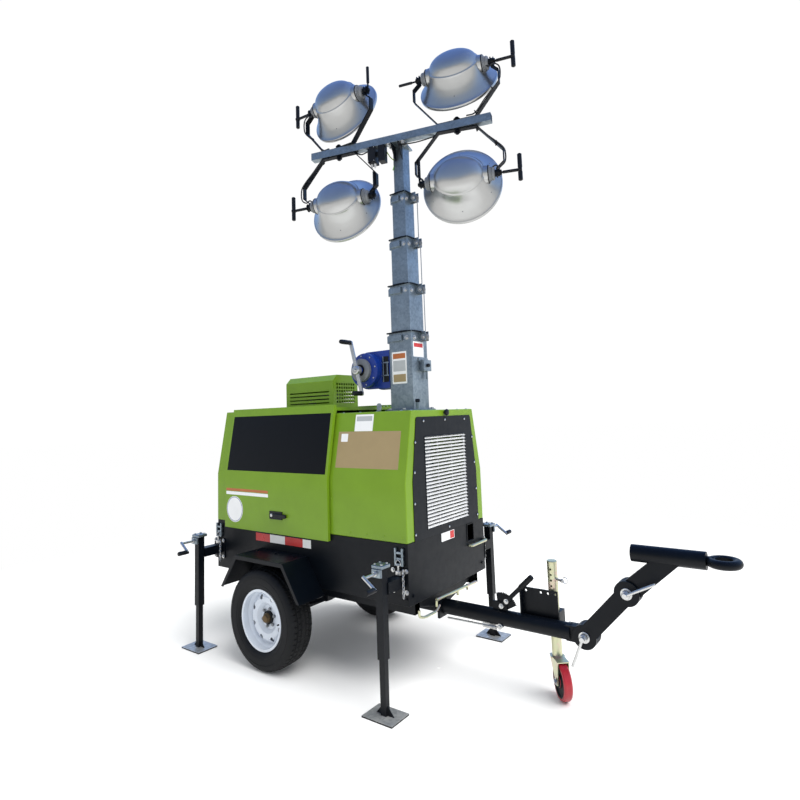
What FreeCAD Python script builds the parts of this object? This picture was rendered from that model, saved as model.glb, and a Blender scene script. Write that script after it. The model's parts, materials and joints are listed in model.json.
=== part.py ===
import FreeCAD, Part
import math
import os
import Sketcher

# Mobile light tower on a one-axle trailer.
# Frame: +X towards the drawbar, +Y the trailer's left, +Z up, millimetres.
# Origin: on the ground, under the middle of the whole outline.

# Driving dimensions: name, value, what it is
DIMENSIONS = (
    ("axle_x", -906, "wheel centre behind the origin"),
    ("wheel_radius", 307.5, "half of the tyre's diameter"),
    ("wheel_lift", 0.5, "tyre clear of the ground on the jacks"),
    ("tyre_gap", 20.5, "tyre off the side of the base"),
    ("tyre_width", 185, "section width of the tyre"),
    ("rim_radius", 178, "bead seat of the rim"),
    ("rim_flange", 9, "flange above the bead seat"),
    ("rim_width", 152, "rim over its flanges"),
    ("rim_wall", 5, "sheet of the rim"),
    ("hub_radius", 32, "bore of the disc round the hub"),
    ("hub_cap_radius", 30, "grease cap"),
    ("wheel_holes", 8, "windows in the wheel disc"),
    ("front_jack_x", 62, "centre line of the front jacks"),
    ("jack_spacing", 1644, "front jacks to rear jacks"),
    ("jack_y", 615, "jack centre from the middle plane"),
    ("jack_arm_z", 640, "centre height of the outrigger arms"),
    ("jack_arm", 60, "square arm, outside"),
    ("arm_wall", 5, "wall of the square arm"),
    ("arm_fit", 0.4, "play round the arm in its receiver"),
    ("arm_inner_y", 150, "inner end of the arm"),
    ("jack_tube", 46, "square outer tube of the jack"),
    ("jack_tube_wall", 5, "wall of the outer tube"),
    ("jack_tube_bottom", 285, "lower end of the outer tube"),
    ("jack_head_z", 752, "underside of the gearbox cap"),
    ("jack_leg_fit", 0.5, "play of the leg in the tube"),
    ("foot_x", 200, "foot plate, along the trailer"),
    ("foot_y", 150, "foot plate, across"),
    ("foot_plate", 8, "thickness of the foot plate"),
    ("crank_reach", 105, "jack crank shaft beyond the gearbox"),
    ("crank_arm", 95, "throw of the jack crank"),
    ("crank_grip", 62, "length of the crank's grip"),
    ("overhang_front", 55, "front wall of the base beyond the front jacks"),
    ("overhang_rear", 27, "rear wall of the base beyond the rear jacks"),
    ("base_width", 886, "base tub, outside"),
    ("base_bottom_z", 505, "underside of the base"),
    ("base_top_z", 842, "joint of base and canopy"),
    ("base_wall", 5, "sheet of the base"),
    ("slot_inner_y", 215, "fork slot in the base's front wall"),
    ("slot_outer_y", 300, "fork slot in the base's front wall"),
    ("slot_low_z", 730, "fork slot in the base's front wall"),
    ("slot_high_z", 830, "fork slot in the base's front wall"),
    ("rail_height", 70, "rails under the base"),
    ("rail_width", 50, "rails under the base"),
    ("rail_y", 340, "centre of a rail"),
    ("rail_wall", 5, "wall of a rail"),
    ("canopy_wall", 22, "canopy wall with its lining"),
    ("canopy_top_width", 722, "flat of the roof"),
    ("crease_z", 1175, "bend where the side leans in"),
    ("front_roof_z", 1585, "roof of the front part"),
    ("rear_roof_z", 1625, "roof of the rear part"),
    ("hinge_rise", 8, "door hinge pin above the roof"),
    ("hinge_in", 6, "hinge pin inside the door's inner face"),
    ("hinge_pin", 4, "hinge pin radius"),
    ("hinge_barrel", 7, "hinge barrel radius"),
    ("hinge_length", 56, "hinge barrel length"),
    ("pin_play", 0.05, "running play of a pin"),
    ("leg_raise", 200, "travel of the jack leg up from here"),
    ("canopy_split_x", -488, "joint of front and rear parts"),
    ("door_inset", 118, "rear edge of the side doors inside the base's rear wall"),
    ("door_head", 190, "roof above the door opening"),
    ("door_front_x", -466, "front edge of the side doors"),
    ("door_bottom_z", 803, "lower edge of the doors"),
    ("door_wall", 20, "door with its lining"),
    ("door_gap", 5, "door off the canopy side"),
    ("door_lap", 32, "door over the opening's edge"),
    ("panel_wall", 4, "black front panel"),
    ("panel_low_half", 374, "front panel, half width to the bend"),
    ("panel_top_half", 322, "front panel, half width at its top"),
    ("panel_top_z", 1545, "top of the front panel"),
    ("grille_half", 240, "half width of the louvres"),
    ("grille_low_z", 885, "lowest louvre edge"),
    ("grille_high_z", 1428, "top louvre edge"),
    ("slat_count", 26, "louvre slats"),
    ("slat_depth", 16, "slat, front to back"),
    ("slat_thick", 2.5, "slat sheet"),
    ("slat_tilt", 35, "slat slope in degrees"),
    ("guard_rear_x", -1176, "exhaust guard"),
    ("guard_front_x", -696, "exhaust guard"),
    ("guard_right_y", -150, "exhaust guard"),
    ("guard_left_y", 114, "exhaust guard"),
    ("guard_height", 236, "exhaust guard"),
    ("guard_wall", 3, "exhaust guard sheet"),
    ("guard_chamfer", 42, "sloping shoulders of the guard"),
    ("guard_hole", 15, "square holes in the guard's end"),
    ("guard_pitch", 25, "spacing of those holes"),
    ("mast_x", -143, "mast axis"),
    ("mast_width", 180, "outer mast tube, square"),
    ("mast_step", 25, "each stage is this much narrower"),
    ("mast_wall", 4, "wall of the mast tubes"),
    ("mast_floor_gap", 0.3, "mast foot and turning plate off their seats"),
    ("mast_base_top", 2105, "top of the fixed mast tube"),
    ("stage_show", 320, "each stage seen above the one below"),
    ("stage_overlap", 300, "overlap kept when fully raised"),
    ("stage_up", 950, "travel of each stage up from here"),
    ("guide_gap", 0.3, "guide pads off the stage inside"),
    ("collar_lip", 12, "collar plate beyond the tube"),
    ("collar_plate", 8, "collar plate thickness"),
    ("collar_band", 58, "guide pad height under the collar"),
    ("turntable_radius", 168, "turning plate on the roof"),
    ("turntable_plate", 8, "its thickness"),
    ("turn_hole_radius", 138, "hole in the roof for the mast"),
    ("winch_x", -420, "winch drum axis"),
    ("winch_z", 1868, "winch drum axis"),
    ("winch_radius", 128, "side plates of the winch"),
    ("winch_half", 84, "half width over the side plates"),
    ("winch_plate", 8, "winch side plate"),
    ("drum_radius", 62, "winch drum"),
    ("bar_turn", 15, "light bar turned on the mast head"),
    ("bar_z", 3430, "centre of the light bar"),
    ("bar_offset", -75, "light bar beside the mast axis"),
    ("bar_half", 653, "half length of the light bar"),
    ("bar_tube", 52, "square tube of the light bar"),
    ("bar_wall", 4, "its wall"),
    ("lamp_spread", 434, "half the distance between the lamp columns"),
    ("lamp_shift", -8, "middle of the lamp columns along the bar"),
    ("lamp_radius", 265, "rim of a floodlight"),
    ("dome_radius", 176, "spun reflector beside its pivots"),
    ("lamp_back", 122, "back of the reflector behind its pivot"),
    ("lamp_front", 112, "rim in front of the pivot"),
    ("socket_radius", 44, "cast lamp holder beside the reflector"),
    ("lamp_sheet", 3, "spun sheet"),
    ("glass_plate", 5, "lamp glass"),
    ("yoke_base_half", 125, "flat part of the yoke"),
    ("yoke_wide_half", 292, "yoke at its widest"),
    ("yoke_pivot_half", 245, "yoke end at the pivot"),
    ("yoke_knee", 150, "knee of the yoke before its pivot"),
    ("yoke_shoulder", 66, "shoulder of the yoke before its pivot"),
    ("yoke_tip", 24, "yoke end beyond its pivot"),
    ("yoke_boss", 22, "clamp boss at the pivot, radius"),
    ("swivel_bolt", 8, "bolt that holds a yoke to the bar, radius"),
    ("swivel_nut", 15, "its head, radius"),
    ("yoke_strap", 40, "strap width"),
    ("yoke_thick", 7, "strap thickness"),
    ("upper_pivot_rise", 376, "upper pivots above the bar"),
    ("lower_pivot_drop", 362, "lower pivots below the bar"),
    ("drawbar_z", 380, "centre of the drawbar"),
    ("drawbar_radius", 44, "round drawbar tube"),
    ("drawbar_wall", 6, "its wall"),
    ("drawbar_rear_x", -560, "rear end under the base"),
    ("low_pivot_x", 938, "lower drawbar pivot"),
    ("high_pivot_x", 1165, "upper drawbar pivot"),
    ("high_pivot_z", 632, "upper drawbar pivot"),
    ("link_tube", 88, "link section height"),
    ("pivot_radius", 62, "serrated pivot discs"),
    ("pivot_bolt", 14, "pivot bolt radius"),
    ("pivot_play", 0.3, "face play between discs"),
    ("coupling_z", 828, "centre of the coupling tube"),
    ("coupling_rear_x", 1194, "rear end of the coupling tube"),
    ("coupling_front_x", 1530, "front end of the coupling tube"),
    ("coupling_radius", 42, "coupling tube"),
    ("coupling_wall", 6, "its wall"),
    ("eye_bore", 38, "radius of the towing eye's bore"),
    ("eye_bar", 21, "radius of the eye's ring bar"),
    ("eye_bush", 30, "depth of the eye's straight bore"),
    ("jockey_x", 736, "jockey tube axis"),
    ("jockey_y", 82, "jockey tube axis"),
    ("jockey_radius", 28, "jockey tube"),
    ("jockey_wall", 4, "its wall"),
    ("jockey_top", 712, "top of the jockey tube"),
    ("jockey_low", 206, "bottom of the jockey tube"),
    ("caster_trail", 62, "wheel axis behind the swivel"),
    ("caster_turn", -50, "how the caster stands, degrees"),
    ("jockey_wheel", 97, "jockey wheel radius"),
    ("jockey_tread", 46, "jockey wheel width"),
    ("fender_top_z", 686, "flat top of the mudguard"),
    ("fender_low_z", 466, "lower edges of the mudguard"),
    ("fender_top_half", 228, "half of its flat top"),
    ("fender_low_half", 376, "half of its length"),
    ("fender_sheet", 4, "mudguard sheet"),
    ("fender_over", 6.5, "mudguard's outer edge beyond the tyre"),
    ("fender_lip", 26, "turned-down outer edge"),
    ("spring_half", 300, "half length of a leaf spring"),
    ("spring_rise", 68, "camber of a leaf spring"),
    ("spring_pack", 26, "leaves together"),
    ("spring_width", 45, "leaf width"),
    ("axle_tube", 60, "square axle tube"),
    ("engine_rear_x", -820, "engine block"),
    ("engine_front_x", -345, "engine block"),
    ("engine_half", 215, "half its width"),
    ("engine_height", 560, "engine block above the floor"),
    ("generator_rear_x", -1240, "generator block"),
    ("generator_half", 190, "half its width"),
    ("generator_height", 420, "generator block above the floor"),
    ("bracket_top_z", 562, "plate beside the jockey tube"),
    ("bracket_length", 210, "plate beside the jockey tube"),
    ("bracket_plate", 8, "its thickness"),
    ("bracket_flange", 42, "its flange over the drawbar"),
    ("teeth", 24, "teeth round a pivot disc"),
    ("tooth_depth", 5, "depth of those teeth"),
)

doc = FreeCAD.newDocument("light_tower")
sheet = doc.addObject("Spreadsheet::Sheet", "Dims")


class Size:
    """A length or angle with its value and the sheet formula that gives it."""

    def __init__(self, text, value):
        self.text = text
        self.value = float(value)

    def __add__(self, other):
        other = sized(other)
        return Size("(%s + %s)" % (self.text, other.text), self.value + other.value)

    __radd__ = __add__

    def __sub__(self, other):
        other = sized(other)
        return Size("(%s - %s)" % (self.text, other.text), self.value - other.value)

    def __rsub__(self, other):
        return sized(other) - self

    def __mul__(self, other):
        other = sized(other)
        return Size("(%s * %s)" % (self.text, other.text), self.value * other.value)

    __rmul__ = __mul__

    def __truediv__(self, other):
        other = sized(other)
        return Size("(%s / %s)" % (self.text, other.text), self.value / other.value)

    def __rtruediv__(self, other):
        return sized(other) / self

    def __neg__(self):
        return sized(0) - self


def sized(amount):
    """A plain number as a Size."""
    if isinstance(amount, Size):
        return amount
    return Size("%.10g" % amount, amount)


def root(amount):
    """Square root of a Size."""
    return Size("sqrt(%s)" % amount.text, math.sqrt(amount.value))


def slope_angle(rise, run):
    """Angle in degrees whose tangent is rise over run."""
    text = "(atan2(%s; %s) / 1 deg)" % (sized(rise).text, sized(run).text)
    return Size(text, math.degrees(math.atan2(sized(rise).value, sized(run).value)))


class Dimensions:
    """The sheet's cells by name, each as a Size."""


D = Dimensions()
for row, (alias, amount, note) in enumerate(DIMENSIONS, start=1):
    sheet.set("A%d" % row, note)
    sheet.set("B%d" % row, "%g" % amount)
    sheet.setAlias("B%d" % row, alias)
    setattr(D, alias, Size("Dims.%s" % alias, amount))
doc.recompute()

D.base_front_x = D.front_jack_x + D.overhang_front
D.base_rear_x = D.front_jack_x - D.jack_spacing - D.overhang_rear
D.door_rear_x = D.base_rear_x + D.door_inset
D.tyre_outer_y = D.base_width / 2 + D.tyre_gap + D.tyre_width
D.fender_outer_y = D.tyre_outer_y + D.fender_over

AXES = {"X": (1, 0, 0), "Y": (0, 1, 0), "Z": (0, 0, 1)}
made_nodes = []
names_in_use = {}


def fresh(name):
    """A document name that is not in use yet."""
    names_in_use[name] = names_in_use.get(name, 0) + 1
    return "%s_%d" % (name, names_in_use[name])


def moved(x=0, y=0, z=0):
    """Formula text of a move."""
    x, y, z = sized(x), sized(y), sized(z)
    return "placement(vector(%s; %s; %s); rotation(vector(0; 0; 1); 0))" % (x.text, y.text, z.text)


def turned(axis, angle):
    """Formula text of a turn about an axis through the origin."""
    vector = "%d; %d; %d" % AXES[axis]
    return "placement(vector(0; 0; 0); rotation(vector(%s); %s))" % (vector, sized(angle).text)


def put(item, *steps):
    """Bind an object's placement to a chain of moves and turns."""
    item.setExpression("Placement", " * ".join(steps))
    return item


def block(name, across_x, across_y, across_z):
    """A box between two places on each axis."""
    item = doc.addObject("Part::Box", fresh(name))
    for side, (low, high) in zip(("Length", "Width", "Height"), (across_x, across_y, across_z)):
        item.setExpression(side, (sized(high) - sized(low)).text)
    return put(item, moved(across_x[0], across_y[0], across_z[0]))


def rod(name, axis, start, length, radius):
    """A cylinder from its start point along an axis."""
    item = doc.addObject("Part::Cylinder", fresh(name))
    item.setExpression("Radius", sized(radius).text)
    item.setExpression("Height", sized(length).text)
    lay = {"X": turned("Y", 90), "Y": turned("X", -90), "Z": turned("Z", 0)}[axis]
    return put(item, moved(*start), lay)


def fuse(name, *items):
    """One object from several that touch."""
    item = doc.addObject("Part::MultiFuse", fresh(name))
    item.Shapes = list(items)
    item.Refine = True
    return item


def cut(name, base, *tools):
    """The base less the tools."""
    item = doc.addObject("Part::Cut", fresh(name))
    item.Base = base
    item.Tool = tools[0] if len(tools) == 1 else fuse(name + "_tools", *tools)
    item.Refine = True
    return item


def square_tube(name, axis, middle, span, outside, wall):
    """A square tube along X, Y or Z round a middle line."""
    half = sized(outside) / 2
    inner = half - wall
    sides = {}
    holes = {}
    order = [letter for letter in "XYZ" if letter != axis]
    for letter, centre in zip(order, middle):
        sides[letter] = (centre - half, centre + half)
        holes[letter] = (centre - inner, centre + inner)
    sides[axis] = span
    holes[axis] = (span[0] - 1, span[1] + 1)
    outer = block(name, sides["X"], sides["Y"], sides["Z"])
    hollow = block(name, holes["X"], holes["Y"], holes["Z"])
    return cut(name, outer, hollow)


def draw(body, plane, shift, outlines):
    """A sketch on an origin plane; a point may carry a radius for an arc that ends there."""
    sketch = body.newObject("Sketcher::SketchObject", fresh("sketch"))
    face = [item for item in body.Origin.OriginFeatures if item.Role == plane][0]
    sketch.AttachmentSupport = [(face, "")]
    sketch.MapMode = "FlatFace"
    sketch.setExpression("AttachmentOffset.Base.z", sized(shift).text)
    for outline in outlines:
        add_outline(sketch, [tuple(sized(part) for part in point) for point in outline])
    return sketch


def arc_between(start, end, bend):
    """An arc from start to end; bend is its radius, positive when it turns left."""
    run = FreeCAD.Vector(end[0].value - start[0].value, end[1].value - start[1].value, 0)
    middle = FreeCAD.Vector(start[0].value, start[1].value, 0) + run * 0.5
    radius = abs(bend.value)
    rise = math.sqrt(max(radius ** 2 - (run.Length / 2) ** 2, 0))
    side = FreeCAD.Vector(-run.y, run.x, 0).normalize()
    centre = middle + side * (rise if bend.value > 0 else -rise)
    circle = Part.Circle(centre, FreeCAD.Vector(0, 0, 1), radius)
    first = math.atan2(start[1].value - centre.y, start[0].value - centre.x)
    last = math.atan2(end[1].value - centre.y, end[0].value - centre.x)
    if bend.value < 0:
        first, last = last, first
    return Part.ArcOfCircle(circle, first, last)


def add_outline(sketch, points):
    """One closed outline, every corner tied to the sheet."""
    first = sketch.GeometryCount
    count = len(points)
    starts = []
    ends = []
    for index in range(count):
        start = points[index]
        end = points[(index + 1) % count]
        if len(end) == 3:
            sketch.addGeometry(arc_between(start, end, end[2]))
            starts.append(1 if end[2].value > 0 else 2)
            ends.append(2 if end[2].value > 0 else 1)
        else:
            line = Part.LineSegment(
                FreeCAD.Vector(start[0].value, start[1].value, 0),
                FreeCAD.Vector(end[0].value, end[1].value, 0))
            sketch.addGeometry(line)
            starts.append(1)
            ends.append(2)
    for index in range(count):
        after = (index + 1) % count
        sketch.addConstraint(Sketcher.Constraint(
            "Coincident", first + index, ends[index], first + after, starts[after]))
    for index in range(count):
        for kind, amount in (("DistanceX", points[index][0]), ("DistanceY", points[index][1])):
            place = sketch.addConstraint(Sketcher.Constraint(
                kind, -1, 1, first + index, starts[index], amount.value))
            sketch.setExpression("Constraints[%d]" % place, amount.text)
        end = points[(index + 1) % count]
        if len(end) == 3:
            hold_arc(sketch, first + index, points[index], end)


def hold_arc(sketch, edge, start, end):
    """Hold an arc by its radius, or a half circle by its centre."""
    bend = end[2] if end[2].value > 0 else -end[2]
    run = math.hypot(end[0].value - start[0].value, end[1].value - start[1].value)
    if run < bend.value * 1.999:
        place = sketch.addConstraint(Sketcher.Constraint("Radius", edge, bend.value))
        sketch.setExpression("Constraints[%d]" % place, bend.text)
        return
    upright = abs(end[0].value - start[0].value) < abs(end[1].value - start[1].value)
    kind = "DistanceX" if upright else "DistanceY"
    middle = (start[0] + end[0]) / 2 if upright else (start[1] + end[1]) / 2
    place = sketch.addConstraint(Sketcher.Constraint(kind, -1, 1, edge, 3, middle.value))
    sketch.setExpression("Constraints[%d]" % place, middle.text)


def pad(name, plane, span, *outlines):
    """A body padded along the plane's axis between two places; later outlines are holes."""
    low, high = sized(span[0]), sized(span[1])
    body = doc.addObject("PartDesign::Body", fresh(name))
    shift = -high if plane == "XZ_Plane" else low
    sketch = draw(body, plane, shift, outlines)
    feature = body.newObject("PartDesign::Pad", fresh(name + "_pad"))
    feature.Profile = sketch
    feature.setExpression("Length", (high - low).text)
    sketch.Visibility = False
    return body


def spin(name, *outlines):
    """A body turned round Z; outlines give radius and height."""
    body = doc.addObject("PartDesign::Body", fresh(name))
    sketch = draw(body, "XZ_Plane", 0, outlines)
    feature = body.newObject("PartDesign::Revolution", fresh(name + "_turn"))
    feature.Profile = sketch
    feature.ReferenceAxis = (sketch, ["V_Axis"])
    feature.Angle = 360
    return body


def node(label, item):
    """Name a finished sub-part."""
    item.Label = label
    made_nodes.append(item)
    return item


def mirrored(y_side, low, high):
    """A span on the right (-1) or left (1) side of the middle plane."""
    if y_side < 0:
        return (-sized(high), -sized(low))
    return (sized(low), sized(high))


SIDES = (("right", -1), ("left", 1))


def base_frame():
    """Black base tub with arm receivers, rails and drawbar saddles."""
    half = D.base_width / 2
    rear = D.base_rear_x
    wall = D.base_wall
    tub = block("tub", (rear, D.base_front_x), (-half, half), (D.base_bottom_z, D.base_top_z))
    inside = block(
        "tub_inside", (rear + wall, D.base_front_x - wall), (-half + wall, half - wall),
        (D.base_bottom_z + wall, D.base_top_z + 1))
    slot = block(
        "slot", (D.base_front_x - wall * 2, D.base_front_x + 1), (D.slot_inner_y, D.slot_outer_y),
        (D.slot_low_z, D.slot_high_z))
    pieces = [cut("tub", tub, inside, slot)]
    receiver = D.jack_arm + (D.arm_fit + wall) * 2
    hollows = []
    for x_place in (D.front_jack_x, D.front_jack_x - D.jack_spacing):
        size = receiver / 2
        pieces.append(block(
            "receiver", (x_place - size, x_place + size), (-half, half),
            (D.jack_arm_z - size, D.jack_arm_z + size)))
        free = D.jack_arm / 2 + D.arm_fit
        hollows.append(block(
            "receiver_bore", (x_place - free, x_place + free), (-half - 1, half + 1),
            (D.jack_arm_z - free, D.jack_arm_z + free)))
    for _, side in SIDES:
        pieces.append(rail(side, rear))
    for x_place in (D.base_front_x - 60, D.drawbar_rear_x + 60):
        pieces.append(saddle(x_place))
    shell = fuse("base", *pieces)
    bore = rod(
        "drawbar_way", "X", (D.drawbar_rear_x - 50, 0, D.drawbar_z),
        D.base_front_x - D.drawbar_rear_x + 100, D.drawbar_radius + 0.3)
    return node("base_frame", cut("base_frame", shell, bore, *hollows))


def rail(side, rear):
    """Channel rail under the base, open towards the middle."""
    low = D.base_bottom_z - D.rail_height
    half = D.rail_width / 2
    wall = D.rail_wall
    middle = D.rail_y * side
    outer = middle + half * side
    inner = middle - half * side
    web = outer - wall * side
    outline = (
        (outer, low), (outer, D.base_bottom_z), (inner, D.base_bottom_z),
        (inner, D.base_bottom_z - wall), (web, D.base_bottom_z - wall), (web, low + wall),
        (inner, low + wall), (inner, low))
    if side > 0:
        outline = tuple(reversed(outline))
    return pad("rail", "YZ_Plane", (rear + 20, D.base_front_x - 20), outline)


def saddle(x_place):
    """Cross-member that carries the drawbar tube."""
    reach = D.rail_y + D.rail_width / 2
    low = D.drawbar_z - D.drawbar_radius - 14
    hip = D.base_bottom_z - 34
    waist = D.drawbar_radius + 22
    outline = (
        (-waist, low), (waist, low), (waist, D.drawbar_z + 20), (reach, hip),
        (reach, D.base_bottom_z), (-reach, D.base_bottom_z), (-reach, hip),
        (-waist, D.drawbar_z + 20))
    return pad("saddle", "YZ_Plane", (x_place - 8, x_place + 8), outline)


def axle():
    """Square axle tube with hub stubs and spring seats."""
    centre_z = D.wheel_radius + D.wheel_lift
    inner_face = D.tyre_outer_y - D.tyre_width
    tube = D.axle_tube / 2
    beam = block(
        "beam", (D.axle_x - tube, D.axle_x + tube), (-inner_face + 30, inner_face - 30),
        (centre_z - tube, centre_z + tube))
    pieces = [beam]
    disc_y = D.tyre_outer_y - D.tyre_width / 2
    for _, side in SIDES:
        low, high = mirrored(side, inner_face - 34, disc_y - 10)
        pieces.append(rod("hub", "Y", (D.axle_x, low, centre_z), high - low, 58))
        low, high = mirrored(side, disc_y - 12, disc_y + 14)
        pieces.append(rod("spindle", "Y", (D.axle_x, low, centre_z), high - low, D.hub_radius - 2))
    return node("axle", fuse("axle", *pieces))


def springs():
    """Leaf packs on the axle with their hangers under the rails."""
    pieces = []
    seat = D.wheel_radius + D.wheel_lift + D.axle_tube / 2
    bend = (D.spring_half * D.spring_half + D.spring_rise * D.spring_rise) / (D.spring_rise * 2)
    for _, side in SIDES:
        middle = D.rail_y * side
        span = (middle - D.spring_width / 2, middle + D.spring_width / 2)
        top = seat + D.spring_rise
        rear = D.axle_x - D.spring_half
        front = D.axle_x + D.spring_half
        outline = (
            (rear, top), (front, top, bend), (front, top + D.spring_pack),
            (rear, top + D.spring_pack, -bend))
        pieces.append(pad("leaf", "XZ_Plane", span, outline))
        for x_place in (rear, front):
            pieces.append(block(
                "hanger", (x_place - 24, x_place + 24), span,
                (top - 4, D.base_bottom_z - D.rail_height)))
        pieces.append(block(
            "seat", (D.axle_x - 50, D.axle_x + 50), (span[0] - 8, span[1] + 8),
            (seat, seat + D.spring_pack + 10)))
    return node("leaf_springs", fuse("leaf_springs", *pieces))


def fender(name, side):
    """Bent-plate mudguard with a turned-down outer edge."""
    sheet_gap = D.fender_sheet
    top = (
        (D.axle_x - D.fender_low_half, D.fender_low_z),
        (D.axle_x - D.fender_low_half + sheet_gap, D.fender_low_z),
        (D.axle_x - D.fender_top_half + 2, D.fender_top_z - sheet_gap),
        (D.axle_x + D.fender_top_half - 2, D.fender_top_z - sheet_gap),
        (D.axle_x + D.fender_low_half - sheet_gap, D.fender_low_z),
        (D.axle_x + D.fender_low_half, D.fender_low_z),
        (D.axle_x + D.fender_top_half, D.fender_top_z),
        (D.axle_x - D.fender_top_half, D.fender_top_z))
    plate = pad("fender", "XZ_Plane", mirrored(side, D.base_width / 2, D.fender_outer_y), top)
    lip = D.fender_lip
    edge = (
        (D.axle_x - D.fender_low_half, D.fender_low_z),
        (D.axle_x - D.fender_low_half + lip, D.fender_low_z),
        (D.axle_x - D.fender_top_half + lip / 2, D.fender_top_z - lip),
        (D.axle_x + D.fender_top_half - lip / 2, D.fender_top_z - lip),
        (D.axle_x + D.fender_low_half - lip, D.fender_low_z),
        (D.axle_x + D.fender_low_half, D.fender_low_z),
        (D.axle_x + D.fender_top_half, D.fender_top_z),
        (D.axle_x - D.fender_top_half, D.fender_top_z))
    flange = pad(
        "fender_edge", "XZ_Plane",
        mirrored(side, D.fender_outer_y - D.fender_sheet, D.fender_outer_y), edge)
    return node("fender_" + name, fuse("fender", plate, flange))


def tyre(name, side):
    """Radial tyre as one turned ring."""
    half = D.tyre_width / 2
    bead = D.rim_width / 2 - D.rim_wall - 0.3
    lip = D.rim_radius + D.rim_flange + 1
    shoulder = D.wheel_radius - 16
    tread = half - 22
    outline = (
        (D.rim_radius, -bead), (lip, -bead), (D.rim_radius + 30, -half + 3), (D.rim_radius + 70, -half),
        (shoulder - 12, -half + 7), (D.wheel_radius - 3, -tread), (D.wheel_radius, -tread + 26),
        (D.wheel_radius, tread - 26), (D.wheel_radius - 3, tread), (shoulder - 12, half - 7),
        (D.rim_radius + 70, half), (D.rim_radius + 30, half - 3), (lip, bead),
        (D.rim_radius, bead))
    ring = spin("tyre", outline)
    middle = (D.tyre_outer_y - half) * side
    put(ring, moved(D.axle_x, middle, D.wheel_radius + D.wheel_lift), turned("X", -90 * side))
    return node("tyre_" + name, ring)


def rim(name, side):
    """Steel rim with its windowed disc and hub cap; +Z of the blank is the outer side."""
    half = D.rim_width / 2
    seat = D.rim_radius - 0.3
    flange = D.rim_radius + D.rim_flange
    wall = D.rim_wall
    well = D.rim_radius - 16
    barrel = spin("barrel", (
        (seat - wall, -half), (flange, -half), (flange, -half + wall), (seat, -half + wall),
        (seat, -half + 36), (well, -half + 48), (well, half - 62), (seat, half - 40),
        (seat, half - wall), (flange, half - wall), (flange, half), (seat - wall, half),
        (seat - wall, half - 42), (well - wall, half - 64), (well - wall, -half + 50),
        (seat - wall, -half + 38)))
    disc = spin("disc", (
        (D.hub_radius, 0), (74, 0), (96, 22), (128, 26), (well - 1, 4), (well - 1, 10),
        (128, 32), (94, 28), (72, 6), (D.hub_radius, 6)))
    windows = []
    count = int(D.wheel_holes.value)
    for index in range(count):
        window = doc.addObject("Part::Cylinder", fresh("window"))
        window.Radius = 15
        window.Height = 60
        put(window, turned("Z", index * 360 / D.wheel_holes + 22), moved(131, 0, -10))
        windows.append(window)
    face = cut("disc", disc, *windows)
    cap = spin("cap", ((0, 14), (D.hub_cap_radius, 14), (D.hub_cap_radius, 30), (22, 44), (0, 47)))
    skirt = spin("skirt", (
        (D.hub_radius, 4), (D.hub_radius + 8, 4), (D.hub_radius + 8, 20),
        (D.hub_cap_radius - 4, 22), (D.hub_cap_radius - 4, 15.5), (D.hub_radius, 15.5)))
    whole = fuse("rim", barrel, face, cap, skirt)
    middle = (D.tyre_outer_y - D.tyre_width / 2) * side
    put(whole, moved(D.axle_x, middle, D.wheel_radius + D.wheel_lift), turned("X", -90 * side))
    return node("rim_" + name, whole)


def canopy_outline(low, roof, inset):
    """Cross-section of the canopy: upright to the bend, leaning in above it."""
    wide = D.base_width / 2 - inset
    top = D.canopy_top_width / 2 - inset
    high = roof - inset
    crease = D.crease_z
    return (
        (-wide, low), (wide, low), (wide, crease), (top, high), (-top, high), (-wide, crease))


def canopy_part(label, rear, front, roof, cuts, ends, extras=()):
    """One hollow part of the canopy, open below, with an end wall where asked."""
    low = D.base_top_z
    shell = pad("canopy", "YZ_Plane", (rear, front), canopy_outline(low, roof, 0))
    rear_in = rear + D.canopy_wall if ends == "rear" else rear - 1
    front_in = front - D.canopy_wall if ends == "front" else front + 1
    hollow = pad(
        "canopy_inside", "YZ_Plane", (rear_in, front_in),
        canopy_outline(low - 1, roof, D.canopy_wall))
    whole = cut(label, shell, hollow, *cuts)
    if extras:
        whole = fuse(label, whole, *extras)
    return node(label, whole)


def canopy_rear():
    """Rear canopy with a door opening on each side."""
    lap = D.door_lap
    cuts = [block(
        "door_way", (D.door_rear_x + lap, D.canopy_split_x - lap),
        (-D.base_width, D.base_width), (D.base_top_z + lap, D.rear_roof_z - D.door_head))]
    return canopy_part(
        "canopy_rear", D.base_rear_x, D.canopy_split_x, D.rear_roof_z, cuts, "rear", hinge_lugs())


def canopy_front():
    """Front canopy with the mast hole in its roof and the opening behind the front panel."""
    hole = rod(
        "mast_hole", "Z", (D.mast_x, 0, D.front_roof_z - 80), 160, D.turn_hole_radius)
    lap = 34
    window = block(
        "panel_way", (D.base_front_x - D.canopy_wall * 2, D.base_front_x + 1),
        (-D.panel_top_half + lap, D.panel_top_half - lap),
        (D.base_top_z - 2, D.panel_top_z - lap))
    return canopy_part(
        "canopy_front", D.canopy_split_x, D.base_front_x, D.front_roof_z, [hole, window], "front")


def front_panel():
    """Black front panel with its louvres."""
    wide = D.panel_low_half
    top = D.panel_top_half
    low = D.base_top_z
    outline = (
        (-wide, low), (wide, low), (wide, D.crease_z), (top, D.panel_top_z - 16),
        (top - 16, D.panel_top_z, 16), (-top + 16, D.panel_top_z), (-top, D.panel_top_z - 16, 16),
        (-wide, D.crease_z))
    window = (
        (-D.grille_half, D.grille_low_z), (D.grille_half, D.grille_low_z),
        (D.grille_half, D.grille_high_z), (-D.grille_half, D.grille_high_z))
    front = D.base_front_x + D.panel_wall
    return node(
        "front_panel", pad("panel", "YZ_Plane", (D.base_front_x, front), outline, window))


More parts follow.
